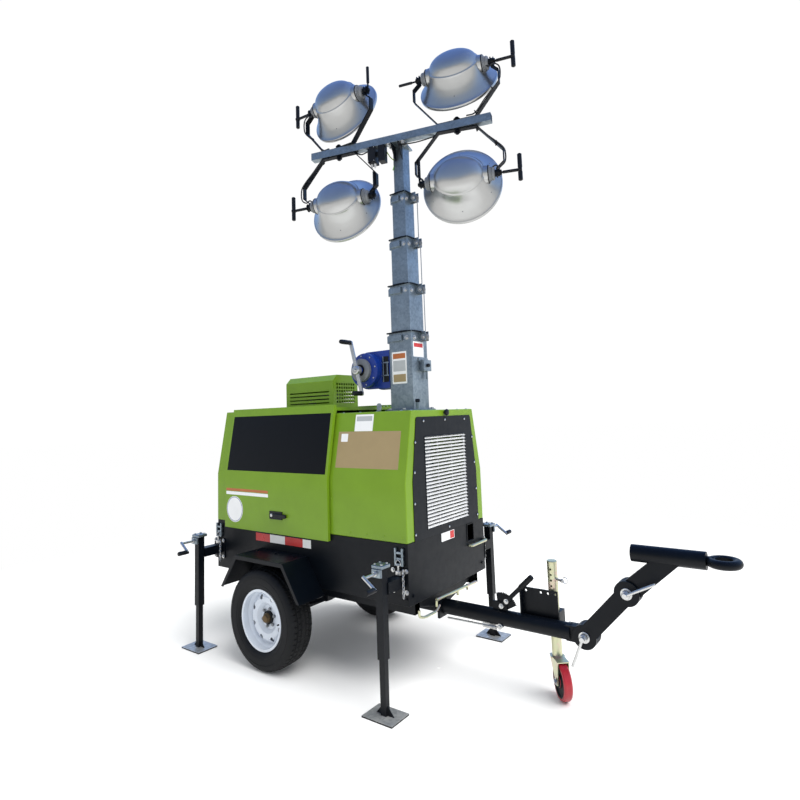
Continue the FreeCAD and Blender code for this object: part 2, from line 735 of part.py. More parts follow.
def grille():
    """Sloping louvre slats in the panel's window, joined by a strip behind each edge."""
    front = D.base_front_x + D.panel_wall
    half = D.grille_half - 0.3
    pieces = []
    pitch = (D.grille_high_z - D.grille_low_z) / D.slat_count
    for index in range(int(D.slat_count.value)):
        slat = doc.addObject("Part::Box", fresh("slat"))
        slat.setExpression("Length", D.slat_depth.text)
        slat.setExpression("Width", (half * 2).text)
        slat.setExpression("Height", D.slat_thick.text)
        put(slat, moved(front - D.panel_wall, 0, D.grille_low_z + pitch * (index + 0.5)),
            turned("Y", D.slat_tilt), moved(-D.slat_depth / 2, -half, 0))
        pieces.append(slat)
    for side in (-1, 1):
        pieces.append(block(
            "slat_strip", (D.base_front_x - 10, D.base_front_x - 0.3),
            mirrored(side, half - 6, half + 10), (D.grille_low_z - 4, D.grille_high_z + 4)))
    return node("grille", fuse("grille", *pieces))


def hinge_places():
    """Middle of each hinge barrel along a door."""
    length = D.door_front_x - D.door_rear_x
    return [D.door_rear_x + length * share for share in (0.14, 0.5, 0.86)]


def hinge_axis(side):
    """Hinge pin line of one door, across and up."""
    across = D.canopy_top_width / 2 + D.door_gap + D.hinge_in
    return across * side, D.rear_roof_z + D.hinge_rise


def hinge_lugs():
    """Roof leaves with barrel and pin for both doors."""
    pieces = []
    for _, side in SIDES:
        across, high = hinge_axis(side)
        for middle in hinge_places():
            start = middle - D.hinge_length / 2
            pieces.append(rod(
                "barrel", "X", (start, across, high), D.hinge_length, D.hinge_barrel))
            pieces.append(rod(
                "pin", "X", (start - 16, across, high), D.hinge_length + 32, D.hinge_pin))
            pieces.append(block(
                "leaf", (start, start + D.hinge_length),
                mirrored(side, D.canopy_top_width / 2 - 40, across * side),
                (D.rear_roof_z - 1, D.rear_roof_z + 4)))
    return pieces


def door(name, side):
    """Top-hinged side door, bent at the same line as the canopy side."""
    half = D.base_width / 2 + D.door_gap
    top = D.canopy_top_width / 2 + D.door_gap
    roof = D.rear_roof_z + D.hinge_rise * 2
    thick = D.door_wall
    outline = (
        (half * side, D.door_bottom_z), (half * side, D.crease_z), (top * side, D.rear_roof_z),
        (top * side, roof), ((top + thick) * side, roof), ((half + thick) * side, D.crease_z),
        ((half + thick) * side, D.door_bottom_z))
    if side > 0:
        outline = tuple(reversed(outline))
    panel = pad("door", "YZ_Plane", (D.door_rear_x, D.door_front_x), outline)
    across, high = hinge_axis(side)
    tools = []
    for middle in hinge_places():
        start = middle - D.hinge_length / 2
        tools.append(block(
            "hinge_notch", (start - 2, start + D.hinge_length + 2),
            mirrored(side, D.canopy_top_width / 2, across * side + D.hinge_barrel + 2),
            (high - D.hinge_barrel - 5, roof + 1)))
        tools.append(rod(
            "pin_bore", "X", (start - 18, across, high), D.hinge_length + 36,
            D.hinge_pin + D.pin_play))
    return node("door_" + name, cut("door", panel, *tools))


def door_latch(name, side):
    """Lever latch near the middle of the door's lower edge."""
    face = D.base_width / 2 + D.door_gap + D.door_wall
    middle_x = (D.door_rear_x + D.door_front_x) / 2 + 40
    plate = block(
        "latch", (middle_x - 62, middle_x + 62), mirrored(side, face, face + 6), (898, 950))
    lever = block(
        "lever", (middle_x - 20, middle_x + 96), mirrored(side, face + 5, face + 17), (912, 934))
    return node("door_latch_" + name, fuse("door_latch", plate, lever))


def exhaust_guard():
    """Louvred box over the exhaust, with a perforated front end."""
    low = D.rear_roof_z
    high = low + D.guard_height
    shoulder = D.guard_chamfer

    def section(inset, floor):
        right = D.guard_right_y + inset
        left = D.guard_left_y - inset
        slant = shoulder - inset * 0.4
        return (
            (right, floor), (left, floor), (left, high - shoulder - inset * 0.2),
            (left - slant, high - inset), (right + slant, high - inset),
            (right, high - shoulder - inset * 0.2))

    shell = pad("guard", "YZ_Plane", (D.guard_rear_x, D.guard_front_x), section(0, low))
    hollow = pad(
        "guard_inside", "YZ_Plane", (D.guard_rear_x + D.guard_wall, D.guard_front_x - D.guard_wall),
        section(D.guard_wall, low - 1))
    tools = [hollow]
    middle = (D.guard_right_y + D.guard_left_y) / 2
    for line in range(6):
        for column in range(8):
            y_place = middle + (column - 3.5) * D.guard_pitch
            z_place = low + 44 + line * D.guard_pitch
            tools.append(block(
                "hole", (D.guard_front_x - D.guard_wall * 2, D.guard_front_x + 1),
                (y_place - D.guard_hole / 2, y_place + D.guard_hole / 2),
                (z_place - D.guard_hole / 2, z_place + D.guard_hole / 2)))
    for index in range(4):
        z_place = low + 34 + index * 26
        tools.append(block(
            "vent", (D.guard_rear_x + 40, D.guard_front_x - 40),
            (D.guard_right_y - 2, D.guard_left_y + 2), (z_place, z_place + 9)))
    return node("exhaust_guard", cut("exhaust_guard", shell, *tools))


def power_blocks():
    """Engine and generator as plain blocks on the floor of the base."""
    floor = D.base_bottom_z + D.base_wall
    engine = block(
        "engine", (D.engine_rear_x, D.engine_front_x), (-D.engine_half, D.engine_half),
        (floor, floor + D.engine_height))
    generator = block(
        "generator", (D.generator_rear_x, D.engine_rear_x), (-D.generator_half, D.generator_half),
        (floor, floor + D.generator_height))
    node("engine_block", engine)
    node("generator_block", generator)


def collar(name, top, outside, inside):
    """Guide pads, rim plate and pulley ears at the top of a mast tube."""
    half = outside / 2
    lip = half + D.collar_lip
    free = inside / 2 + D.guide_gap
    low = top - D.collar_band
    plate = cut(
        name, block(
            name, (D.mast_x - lip, D.mast_x + lip), (-lip, lip), (top - D.collar_plate, top)),
        block(
            name, (D.mast_x - free, D.mast_x + free), (-free, free),
            (top - D.collar_plate - 1, top + 1)))
    lining = cut(
        name, block(
            name, (D.mast_x - half, D.mast_x + half), (-half, half), (low, top)),
        block(name, (D.mast_x - free, D.mast_x + free), (-free, free), (low - 1, top + 1)))
    ears = []
    for y_place in (8, 44):
        ears.append(block(
            name, (D.mast_x + half - 1, D.mast_x + half + 46), (y_place, y_place + 6),
            (low - 6, top)))
    ears.append(rod(name, "Y", (D.mast_x + half + 26, 9, low + 22), 40, 17))
    lug = block(
        name, (D.mast_x - half - 16, D.mast_x - half + 1), (-20, 20), (low + 18, top))
    return [plate, lining, lug] + ears


def mast_base():
    """Fixed lower tube, turning plate and winch bracket."""
    top = D.mast_base_top
    floor = D.base_bottom_z + D.base_wall + D.mast_floor_gap
    tube = square_tube("mast", "Z", (D.mast_x, 0), (floor, top), D.mast_width, D.mast_wall)
    plate_low = D.front_roof_z + D.mast_floor_gap
    plate = rod("turntable", "Z", (D.mast_x, 0, plate_low), D.turntable_plate, D.turntable_radius)
    inside = D.mast_width / 2 - 1
    plate = cut(
        "turntable", plate, block(
            "turntable_bore", (D.mast_x - inside, D.mast_x + inside), (-inside, inside),
            (plate_low - 1, plate_low + D.turntable_plate + 1)))
    pin_x = D.mast_x + 118
    pin = rod("lock_pin", "Z", (pin_x, -84, plate_low), 52, 13)
    bracket = block(
        "winch_bracket", (D.winch_x + 60, D.mast_x - D.mast_width / 2 + 1), (-60, 60),
        (D.winch_z - 116, D.winch_z - 104))
    rib = block(
        "winch_rib", (D.mast_x - D.mast_width / 2 - 8, D.mast_x - D.mast_width / 2 + 1),
        (-60, 60), (D.winch_z - 150, D.winch_z + 130))
    parts = collar("collar", top, D.mast_width, D.mast_width - D.mast_step)
    return node("mast_base", fuse("mast_base", tube, plate, pin, bracket, rib, *parts))


def mast_stage(index):
    """One telescopic stage; the last one carries the head plate instead of a collar."""
    outside = D.mast_width - D.mast_step * index
    top = D.mast_base_top + D.stage_show * index
    low = top - D.stage_show - D.stage_overlap - D.stage_up
    if index < 4:
        tube = square_tube("stage", "Z", (D.mast_x, 0), (low, top), outside, D.mast_wall)
        parts = collar("collar", top, outside, outside - D.mast_step)
        return node("mast_stage_%d" % index, fuse("mast_stage", tube, *parts))
    high = D.bar_z - D.bar_tube / 2 - 10
    tube = square_tube("stage", "Z", (D.mast_x, 0), (low, high), outside, D.mast_wall)
    head = block("head", (-62, 62), (D.bar_offset - 44, 62), (0, 10))
    put(head, moved(D.mast_x, 0, high), turned("Z", D.bar_turn), moved(-62, D.bar_offset - 44, 0))
    return node("mast_stage_4", fuse("mast_stage", tube, head))


def winch():
    """Blue hand winch: side plates, drum, gear cover and brake disc."""
    radius = D.winch_radius
    half = D.winch_half
    front = D.mast_x - D.mast_width / 2 - 8
    pieces = []
    for low in (-half, half - D.winch_plate):
        outline = (
            (front, D.winch_z - radius), (front, D.winch_z + radius),
            (D.winch_x, D.winch_z + radius), (D.winch_x, D.winch_z - radius, radius))
        pieces.append(pad("winch_side", "XZ_Plane", (low, low + D.winch_plate), outline))
    pieces.append(rod("drum", "Y", (D.winch_x, -half, D.winch_z), half * 2, D.drum_radius))
    pieces.append(rod("cover", "Y", (D.winch_x, -half - 52, D.winch_z), 54, radius - 12))
    pieces.append(rod("disc", "Y", (D.winch_x - 14, -half - 66, D.winch_z), 16, 78))
    pieces.append(rod("shaft", "Y", (D.winch_x - 14, -half - 92, D.winch_z), 28, 24))
    for z_place in (D.winch_z - radius, D.winch_z + radius - 12):
        pieces.append(block("spacer", (front - 40, front - 20), (-half, half), (z_place, z_place + 12)))
    pieces.append(block("back", (front - 6, front), (-half, half), (D.winch_z - 90, D.winch_z + 90)))
    return node("winch", fuse("winch", *pieces))


def winch_crank():
    """Flat crank on the winch with its grip."""
    plane = -D.winch_half - 104
    axis_x = D.winch_x - 14
    arm = block("crank", (-16, 16), (0, 12), (-44, 168))
    put(arm, moved(axis_x, plane, D.winch_z), turned("Y", -9), moved(-16, 0, -44))
    grip = rod("grip", "Y", (0, 0, 0), 112, 15)
    put(grip, moved(axis_x, plane, D.winch_z), turned("Y", -9), moved(0, -110, 152),
        turned("X", -90))
    return node("winch_crank", fuse("winch_crank", arm, grip))


def bar_place():
    """Move from the part's frame to the light bar's: its X runs along the bar."""
    return moved(D.mast_x, 0, D.bar_z) + " * " + turned("Z", D.bar_turn)


def column_place(side):
    """A lamp column's place along the bar."""
    return D.lamp_spread * side + D.lamp_shift


def light_bar():
    """Square light bar with end caps and its clamp."""
    half = D.bar_half
    side = D.bar_tube / 2
    low, high = D.bar_offset - side, D.bar_offset + side
    outer = block("bar", (-half, half), (low, high), (-side, side))
    bore = side - D.bar_wall
    inner = block(
        "bar_bore", (-half + 3, half - 3), (D.bar_offset - bore, D.bar_offset + bore),
        (-bore, bore))
    bolts = []
    for column in (-1, 1):
        bolts.append(rod(
            "bolt_hole", "Z", (column_place(column), D.bar_offset, -side - 1), side * 2 + 2,
            D.swivel_bolt + D.pin_play))
    tube = cut("bar", outer, inner, *bolts)
    return node("light_bar", put(tube, bar_place()))


def junction_box():
    """Wiring box hung under the light bar."""
    side = D.bar_tube / 2
    box = block("junction", (-205, -150), (D.bar_offset - 36, D.bar_offset + 40), (-140, -side))
    plate = block("junction_plate", (-130, -84), (D.bar_offset - 30, D.bar_offset + 30), (-140, -side))
    tie = block("junction_tie", (-150, -130), (D.bar_offset - 12, D.bar_offset + 12), (-90, -60))
    return node("junction_box", put(fuse("junction_box", box, plate, tie), bar_place()))


# Floodlights: name, side along the bar, level (1 above, -1 below), yoke turn, tilt of the glass
LAMPS = (
    ("upper_front", 1, 1, 0, 30),
    ("upper_rear", -1, 1, -11, 22),
    ("lower_front", 1, -1, 5, 7),
    ("lower_rear", -1, -1, -1, 18.5),
)


def lamp_column(side, turn):
    """Chain of moves to a lamp column on the bar."""
    return " * ".join((
        bar_place(), moved(column_place(side), D.bar_offset, 0), turned("Z", turn)))


def yoke(name, side, level, turn):
    """Bent strap fork with its swivel bolt and a clamp at each pivot."""
    rise = D.upper_pivot_rise if level > 0 else D.lower_pivot_drop
    start = D.bar_tube / 2
    thick = D.yoke_thick
    wide = D.yoke_wide_half
    foot = D.yoke_base_half
    tip = D.yoke_pivot_half
    knee = rise - D.yoke_knee
    shoulder = rise - D.yoke_shoulder
    neck = rise - D.yoke_tip
    end = rise + D.yoke_tip
    half_outline = (
        (foot + 3, start), (wide, knee), (wide, shoulder), (tip, neck), (tip, end),
        (tip - thick, end), (tip - thick, neck - 3), (wide - thick, shoulder - 3),
        (wide - thick, knee + 3), (foot, start + thick))
    outline = [(-x, z) for x, z in reversed(half_outline)] + list(half_outline)
    turned_outline = outline[::-1] if level > 0 else [(x, -z) for x, z in outline]
    strap = pad("yoke", "XZ_Plane", (-D.yoke_strap / 2, D.yoke_strap / 2), turned_outline)
    pieces = [strap]
    low, high = mirrored(level, start - 12, start + thick + 3)
    pieces.append(rod("swivel", "Z", (0, 0, low), high - low, D.swivel_bolt))
    low, high = mirrored(level, start + thick - 1, start + thick + 9)
    pieces.append(rod("nut", "Z", (0, 0, low), high - low, D.swivel_nut))
    for way in (-1, 1):
        low, high = mirrored(way, tip - thick - 9, tip + 14)
        pieces.append(rod("pivot", "X", (low, 0, rise * level), high - low, D.yoke_boss))
    low, high = mirrored(side, tip + 12, tip + 139)
    pieces.append(rod("stem", "X", (low, 0, rise * level), high - low, 7))
    pieces.append(rod("t_bar", "Z", ((tip + 140) * side, 0, rise * level - 71), 175, 10))
    inner_x = (tip + 22) * -side
    if side > 0 and level > 0:
        low, high = mirrored(-side, tip + 10, tip + 150)
        pieces.append(rod("lever", "X", (low, 0, rise * level), high - low, 6))
    else:
        pieces.append(block(
            "lever_boss", (inner_x - 11, inner_x + 11), (-9, 9), (rise * level - 9, rise * level + 9)))
        pieces.append(rod("lever", "Z", (inner_x, 0, rise * level + 5), 164, 6))
    whole = fuse("yoke", *pieces)
    put(whole, lamp_column(side, turn))
    return node("yoke_" + name, whole)


def lamp(name, side, level, turn, tilt):
    """Spun reflector with its side sockets, and the glass in its rim."""
    rise = D.upper_pivot_rise if level > 0 else -D.lower_pivot_drop
    back = D.lamp_back
    rim_z = D.lamp_front
    dome = D.dome_radius
    edge = D.lamp_radius
    outer = (
        (dome * 0.3, -back + 3), (dome * 0.6, -back + 17), (dome - 40, -back + 38),
        (dome - 15, -back + 78), (dome, 0), (dome + 19, 25), (edge - 46, rim_z - 64),
        (edge - 22, rim_z - 40), (edge - 7, rim_z - 22), (edge, rim_z - 22))
    inner = []
    for (radius, height), (next_radius, next_height) in zip(outer[:-1], outer[1:]):
        steep = sized(next_radius - radius).value < sized(next_height - height).value
        gap = D.lamp_sheet
        inner.append((radius - gap, height) if steep else (radius, height + gap))
    shell = spin("reflector", (
        (0, -back), *outer, (edge, rim_z), (edge - D.lamp_sheet, rim_z),
        (edge - D.lamp_sheet, rim_z - 18), *reversed(inner), (0, -back + D.lamp_sheet)))
    place = (lamp_column(side, turn), moved(0, 0, rise), turned("X", -90 - tilt))
    sockets = []
    reach = D.yoke_pivot_half - D.yoke_thick - 9.5
    for way in (-1, 1):
        low, high = mirrored(way, dome - 20, reach)
        sockets.append(rod("socket", "X", (low, 0, 0), high - low, D.socket_radius))
    whole = put(fuse("reflector", shell, *sockets), *place)
    node("reflector_" + name, whole)
    pane = rod(
        "glass", "Z", (0, 0, rim_z - 14), D.glass_plate, edge - D.lamp_sheet - 0.3)
    glass = put(pane, *place, moved(0, 0, rim_z - 14))
    return node("glass_" + name, glass)


def jack(end, x_place, name, side):
    """Outrigger arm with the jack tube, gearbox and crank."""
    arm = D.jack_arm / 2
    tube = D.jack_tube / 2
    low, high = mirrored(side, D.arm_inner_y, D.jack_y - tube)
    beam = square_tube(
        "arm", "Y", (x_place, D.jack_arm_z), (low, high), D.jack_arm, D.arm_wall)
    middle = D.jack_y * side
    outer = square_tube(
        "jack", "Z", (x_place, middle), (D.jack_tube_bottom, D.jack_head_z), D.jack_tube,
        D.jack_tube_wall)
    cap = block(
        "cap", (x_place - 34, x_place + 34), (middle - 34, middle + 34),
        (D.jack_head_z, D.jack_head_z + 14))
    box = block(
        "gearbox", (x_place - 30, x_place + 30), mirrored(side, D.jack_y + tube - 1, D.jack_y + 44),
        (D.jack_head_z - 44, D.jack_head_z))
    shaft_z = D.jack_head_z - 22
    low, high = mirrored(side, D.jack_y + 40, D.jack_y + 40 + D.crank_reach)
    shaft = rod("crank_shaft", "Y", (x_place, low, shaft_z), high - low, 7)
    end_y = D.jack_y + 40 + D.crank_reach
    low, high = mirrored(side, end_y - 12, end_y)
    throw = block(
        "crank_arm", (-10, D.crank_arm), (low, high), (-7, 7))
    swing = 35
    put(throw, moved(x_place, low, shaft_z), turned("Y", swing), moved(-10, 0, -7))
    low, high = mirrored(side, end_y - 2, end_y + D.crank_grip)
    grip = rod("crank_grip", "Y", (0, 0, 0), high - low, 12)
    put(grip, moved(x_place, low, shaft_z), turned("Y", swing), moved(D.crank_arm - 12, 0, 0),
        turned("X", -90))
    return node(
        "jack_%s_%s" % (end, name), fuse("jack", beam, outer, cap, box, shaft, throw, grip))


def jack_leg(end, x_place, name, side):
    """Sliding leg with its foot plate and gussets."""
    middle = D.jack_y * side
    outside = D.jack_tube - (D.jack_tube_wall + D.jack_leg_fit) * 2
    leg = square_tube(
        "leg", "Z", (x_place, middle), (D.foot_plate - 1, D.jack_head_z - 60 - D.leg_raise),
        outside, 4)
    half_x = D.foot_x / 2
    half_y = D.foot_y / 2
    plate = block(
        "foot", (x_place - half_x, x_place + half_x), (middle - half_y, middle + half_y),
        (0, D.foot_plate))
    gussets = []
    wide = outside / 2
    for way in (-1, 1):
        flare = [
            (x_place + wide * way - way, D.foot_plate - 1), (x_place + (wide + 42) * way, D.foot_plate - 1),
            (x_place + wide * way - way, D.foot_plate + 48)]
        if way < 0:
            flare.reverse()
        gussets.append(pad("gusset", "XZ_Plane", (middle - 3, middle + 3), flare))
    return node("jack_leg_%s_%s" % (end, name), fuse("jack_leg", leg, plate, *gussets))


def serrated(name, centre_x, centre_z):
    """Pivot disc with V teeth cut round it."""
    disc = rod(name, "Y", (centre_x, -30, centre_z), 60, D.pivot_radius)
    side = D.tooth_depth * 1.4
    notches = []
    for index in range(int(D.teeth.value)):
        notch = doc.addObject("Part::Box", fresh("notch"))
        for length in ("Length", "Height"):
            notch.setExpression(length, side.text)
        notch.Width = 70
        put(notch, moved(centre_x, -35, centre_z), turned("Y", index * 360 / D.teeth),
            moved(D.pivot_radius, 0, 0), turned("Y", 45), moved(-side / 2, 0, -side / 2))
        notches.append(notch)
    return cut(name, disc, *notches)


def drawbar():
    """Round drawbar tube with jockey bracket, brake lever foot and the lower pivot disc."""
    length = D.low_pivot_x - D.pivot_radius - 18 - D.drawbar_rear_x
    tube = rod("drawbar", "X", (D.drawbar_rear_x, 0, D.drawbar_z), length, D.drawbar_radius)
    bore = rod(
        "drawbar_bore", "X", (D.drawbar_rear_x - 1, 0, D.drawbar_z), length + 2,
        D.drawbar_radius - D.drawbar_wall)
    hollow = cut("drawbar", tube, bore)
    pieces = [hollow]
    pieces.append(block(
        "pivot_block", (D.low_pivot_x - D.pivot_radius - 40, D.low_pivot_x - 30),
        (-30, 30), (D.drawbar_z - 40, D.drawbar_z + 40)))
    pieces.append(serrated("disc", D.low_pivot_x, D.drawbar_z))
    front = D.jockey_x + 40
    rear = front - D.bracket_length
    low = D.jockey_y - D.jockey_radius - 12
    plate = D.bracket_plate
    top = D.bracket_top_z
    pieces.append(block("bracket", (rear, front), (low - plate, low), (D.drawbar_z + 20, top)))
    pieces.append(block(
        "flange", (rear, rear + plate), (low - D.bracket_flange, low), (D.drawbar_z + 20, top)))
    body = fuse("drawbar", *pieces)
    tools = [rod("pivot_hole", "Y", (D.low_pivot_x, -60, D.drawbar_z), 120, D.pivot_bolt)]
    for share in (0.12, 0.54, 0.74, 0.94):
        tools.append(rod(
            "hole", "Y", (rear + D.bracket_length * share, low - plate - 1, top - 18), plate + 2, 7))
    clamp = block(
        "clamp", (D.jockey_x - 42, D.jockey_x + 42), (low - 1, D.jockey_y + 42),
        (D.drawbar_z - 30, D.drawbar_z + 70))
    whole = fuse("drawbar", cut("drawbar", body, *tools), clamp)
    way = rod(
        "jockey_way", "Z", (D.jockey_x, D.jockey_y, D.drawbar_z - 60), 200,
        D.jockey_radius + 0.3)
    return node("drawbar", cut("drawbar", whole, way))


def brake_lever():
    """Hand brake lever on the drawbar."""
    foot_x = D.front_jack_x + 395
    top = D.drawbar_z + D.drawbar_radius
    foot = block("lever_foot", (foot_x - 60, foot_x + 30), (-7, 7), (top + 0.3, top + 44))
    arm = block("lever", (0, 270), (0, 12), (-12, 12))
    put(arm, moved(foot_x, -18, top + 24), turned("Y", -44), moved(0, 0, -12))
    grip = rod("lever_grip", "X", (0, 0, 0), 100, 15)
    put(grip, moved(foot_x, -12, top + 24), turned("Y", -44), moved(170, 0, 0), turned("Y", 90))
    return node("brake_lever", fuse("brake_lever", foot, arm, grip))


def link_length():
    """Distance between the two drawbar pivots."""
    run = D.high_pivot_x - D.low_pivot_x
    rise = D.high_pivot_z - D.drawbar_z
    return root(run * run + rise * rise)


def drawbar_link():
    """Boxed link with a fork at each end."""
    length = link_length()
    slope = slope_angle(D.high_pivot_z - D.drawbar_z, D.high_pivot_x - D.low_pivot_x)
    half = D.link_tube / 2
    inner = 30 + D.pivot_play
    cheek = 14
    pieces = []
    reach = D.pivot_radius + 12
    for side in (-1, 1):
        span = mirrored(side, inner, inner + cheek)
        low, high = span
        pieces.append(block("cheek", (0, length), span, (-half, half)))
        for place in (0, length):
            pieces.append(rod("cheek_end", "Y", (place, low, 0), high - low, D.pivot_radius))
    pieces.append(block(
        "link_web", (reach, length - reach), (-inner - 1, inner + 1), (-half + 8, half - 8)))
    for place in (0, length):
        pieces.append(rod("bolt", "Y", (place, -58, 0), 116, D.pivot_bolt - 0.05))
    whole = fuse("drawbar_link", *pieces)
    put(whole, moved(D.low_pivot_x, 0, D.drawbar_z), turned("Y", -slope))
    return node("drawbar_link", whole)


def coupling():
    """Coupling tube with the towing eye and its swivel arm."""
    length = D.coupling_front_x - D.coupling_rear_x
    tube = rod(
        "coupling", "X", (D.coupling_rear_x, 0, D.coupling_z), length, D.coupling_radius)
    bore = rod(
        "coupling_bore", "X", (D.coupling_rear_x - 1, 0, D.coupling_z), length - 40,
        D.coupling_radius - D.coupling_wall)
    disc = serrated("disc", D.high_pivot_x, D.high_pivot_z)
    arm_top_x = D.coupling_rear_x + 92
    arm = pad("swan_arm", "XZ_Plane", (-30, 30), (
        (D.high_pivot_x - 38, D.high_pivot_z + 32), (D.high_pivot_x + 38, D.high_pivot_z - 32),
        (arm_top_x + 136, D.coupling_z - 24), (arm_top_x, D.coupling_z - 24)))
    ring_x = D.coupling_front_x + D.eye_bore + D.eye_bar * 1.6
    ring = doc.addObject("Part::Torus", fresh("eye"))
    ring.setExpression("Radius1", (D.eye_bore + D.eye_bar - 3).text)
    ring.setExpression("Radius2", D.eye_bar.text)
    put(ring, moved(ring_x, 0, D.coupling_z))
    bush = rod(
        "eye_bush", "Z", (ring_x, 0, D.coupling_z - D.eye_bush / 2), D.eye_bush,
        D.eye_bore + D.eye_bar)
    neck = rod("neck", "X", (D.coupling_front_x - 30, 0, D.coupling_z), 60, D.eye_bar + 2)
    solid = fuse("coupling", tube, disc, arm, ring, bush, neck)
    eye = rod(
        "eye_bore", "Z", (ring_x, 0, D.coupling_z - 60), 120, D.eye_bore)
    pin = rod("pivot_hole", "Y", (D.high_pivot_x, -60, D.high_pivot_z), 120, D.pivot_bolt)
    return node("coupling", cut("coupling", solid, bore, eye, pin))


def caster_place():
    """Move to the jockey wheel's swivel, X trailing towards the wheel."""
    return moved(D.jockey_x, D.jockey_y, 0) + " * " + turned("Z", D.caster_turn)


def jockey():
    """Jockey tube, its swivelling fork and the red wheel."""
    length = D.jockey_top - D.jockey_low
    tube = rod("jockey", "Z", (D.jockey_x, D.jockey_y, D.jockey_low), length, D.jockey_radius)
    bore = rod(
        "jockey_bore", "Z", (D.jockey_x, D.jockey_y, D.jockey_low + 10), length,
        D.jockey_radius - D.jockey_wall)
    holes = []
    for index in range(5):
        z_place = D.jockey_top - 40 - index * 30
        holes.append(rod(
            "hole", "Y", (D.jockey_x, D.jockey_y - D.jockey_radius - 1, z_place),
            D.jockey_radius * 2 + 2, 6))
    node("jockey_tube", cut("jockey_tube", tube, bore, *holes))
    half = D.jockey_tread / 2
    top = D.jockey_low - D.pivot_play
    axis_z = D.jockey_wheel + 0.5
    plate = block("fork_top", (-38, D.caster_trail + 30), (-half - 10, half + 10), (top - 6, top))
    pieces = [plate, rod("fork_head", "Z", (0, 0, top - 6), 6, 40)]
    for side in (-1, 1):
        span = mirrored(side, half + 5, half + 10)
        outline = (
            (-34, top - 6), (D.caster_trail - 16, axis_z - 16), (D.caster_trail + 16, axis_z - 16, 22),
            (D.caster_trail + 30, top - 6))
        pieces.append(pad("fork_cheek", "XZ_Plane", span, outline))
    pieces.append(rod(
        "wheel_axle", "Y", (D.caster_trail, -half - 14, axis_z), D.jockey_tread + 28, 8))
    node("jockey_fork", put(fuse("jockey_fork", *pieces), caster_place()))
    tread = spin("jockey_wheel", (
        (8.05, -half), (30, -half), (34, -half + 10), (72, -half + 8), (80, -half),
        (D.jockey_wheel - 6, -half), (D.jockey_wheel, -half + 8), (D.jockey_wheel, half - 8),
        (D.jockey_wheel - 6, half), (80, half), (72, half - 8), (34, half - 10), (30, half),
        (8.05, half)))
    put(tread, caster_place(), moved(D.caster_trail, 0, axis_z), turned("X", 90))
    node("jockey_wheel", tread)


def build():
    """Make every sub-part."""
    base_frame()
    axle()
    springs()
    canopy_rear()
    canopy_front()
    front_panel()
    grille()
    exhaust_guard()
    power_blocks()
    for name, side in SIDES:
        fender(name, side)
        tyre(name, side)
        rim(name, side)
        door(name, side)
        door_latch(name, side)
    mast_base()
    for index in range(1, 5):
        mast_stage(index)
    winch()
    winch_crank()
    light_bar()
    junction_box()
    for name, side, level, turn, tilt in LAMPS:
        yoke(name, side, level, turn)
        lamp(name, side, level, turn, tilt)
    ends = (("front", D.front_jack_x), ("rear", D.front_jack_x - D.jack_spacing))
    for end, x_place in ends:
        for name, side in SIDES:
            jack(end, x_place, name, side)
            jack_leg(end, x_place, name, side)
    drawbar()
    brake_lever()
    drawbar_link()
    coupling()
    jockey()


def check():
    """Stop if an object failed or a sub-part is not a valid solid."""
    failed = [item.Name for item in doc.Objects if "Invalid" in item.State or "Error" in item.State]
    for item in made_nodes:
        if item.Shape.isNull() or not item.Shape.isValid() or not item.Shape.Solids:
            failed.append(item.Label + " has no valid solid")
    if failed:
        raise RuntimeError("failed: " + ", ".join(failed))


def write():
    """One STEP file for each sub-part."""
    os.makedirs("parts", exist_ok=True)
    for item in made_nodes:
        item.Shape.exportStep(os.path.join("parts", item.Label + ".step"))


build()
doc.recompute()
check()
write()
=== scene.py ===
"""Finish, fittings and stage of a towed light tower: an add-on with one operator for each group."""

import json
import math

import bmesh
import bpy
import numpy as np
from bpy.props import FloatProperty, FloatVectorProperty, IntProperty, PointerProperty
from mathutils import Matrix, Vector

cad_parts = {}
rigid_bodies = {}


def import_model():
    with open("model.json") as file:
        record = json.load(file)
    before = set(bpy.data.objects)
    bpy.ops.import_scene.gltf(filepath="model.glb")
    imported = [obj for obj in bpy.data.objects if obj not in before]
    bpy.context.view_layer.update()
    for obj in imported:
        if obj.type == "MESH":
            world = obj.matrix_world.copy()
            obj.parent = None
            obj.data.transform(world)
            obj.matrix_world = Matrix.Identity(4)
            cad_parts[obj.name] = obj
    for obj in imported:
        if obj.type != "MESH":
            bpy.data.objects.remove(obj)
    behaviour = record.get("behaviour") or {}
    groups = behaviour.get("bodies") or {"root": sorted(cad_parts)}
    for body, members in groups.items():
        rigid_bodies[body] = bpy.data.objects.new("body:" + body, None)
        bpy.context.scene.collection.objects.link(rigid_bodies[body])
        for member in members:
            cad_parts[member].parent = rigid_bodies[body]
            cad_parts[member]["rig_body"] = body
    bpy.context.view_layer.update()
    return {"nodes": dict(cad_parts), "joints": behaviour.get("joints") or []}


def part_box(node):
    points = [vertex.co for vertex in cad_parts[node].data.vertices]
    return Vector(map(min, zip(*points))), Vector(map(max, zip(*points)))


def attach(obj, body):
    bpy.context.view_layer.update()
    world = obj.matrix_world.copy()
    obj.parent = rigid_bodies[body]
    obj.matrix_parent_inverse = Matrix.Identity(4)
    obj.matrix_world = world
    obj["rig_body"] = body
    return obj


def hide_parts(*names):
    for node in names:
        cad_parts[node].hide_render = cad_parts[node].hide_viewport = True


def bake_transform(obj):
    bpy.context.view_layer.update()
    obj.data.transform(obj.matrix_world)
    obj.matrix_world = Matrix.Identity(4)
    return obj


bl_info = {
    "name": "Light Tower Fittings",
    "version": (1, 0, 0),
    "blender": (4, 5, 0),
    "location": "View3D > Sidebar > Light Tower",
    "description": "Dresses a towed light tower with its finishes, fittings and stage",
    "category": "Object",
}

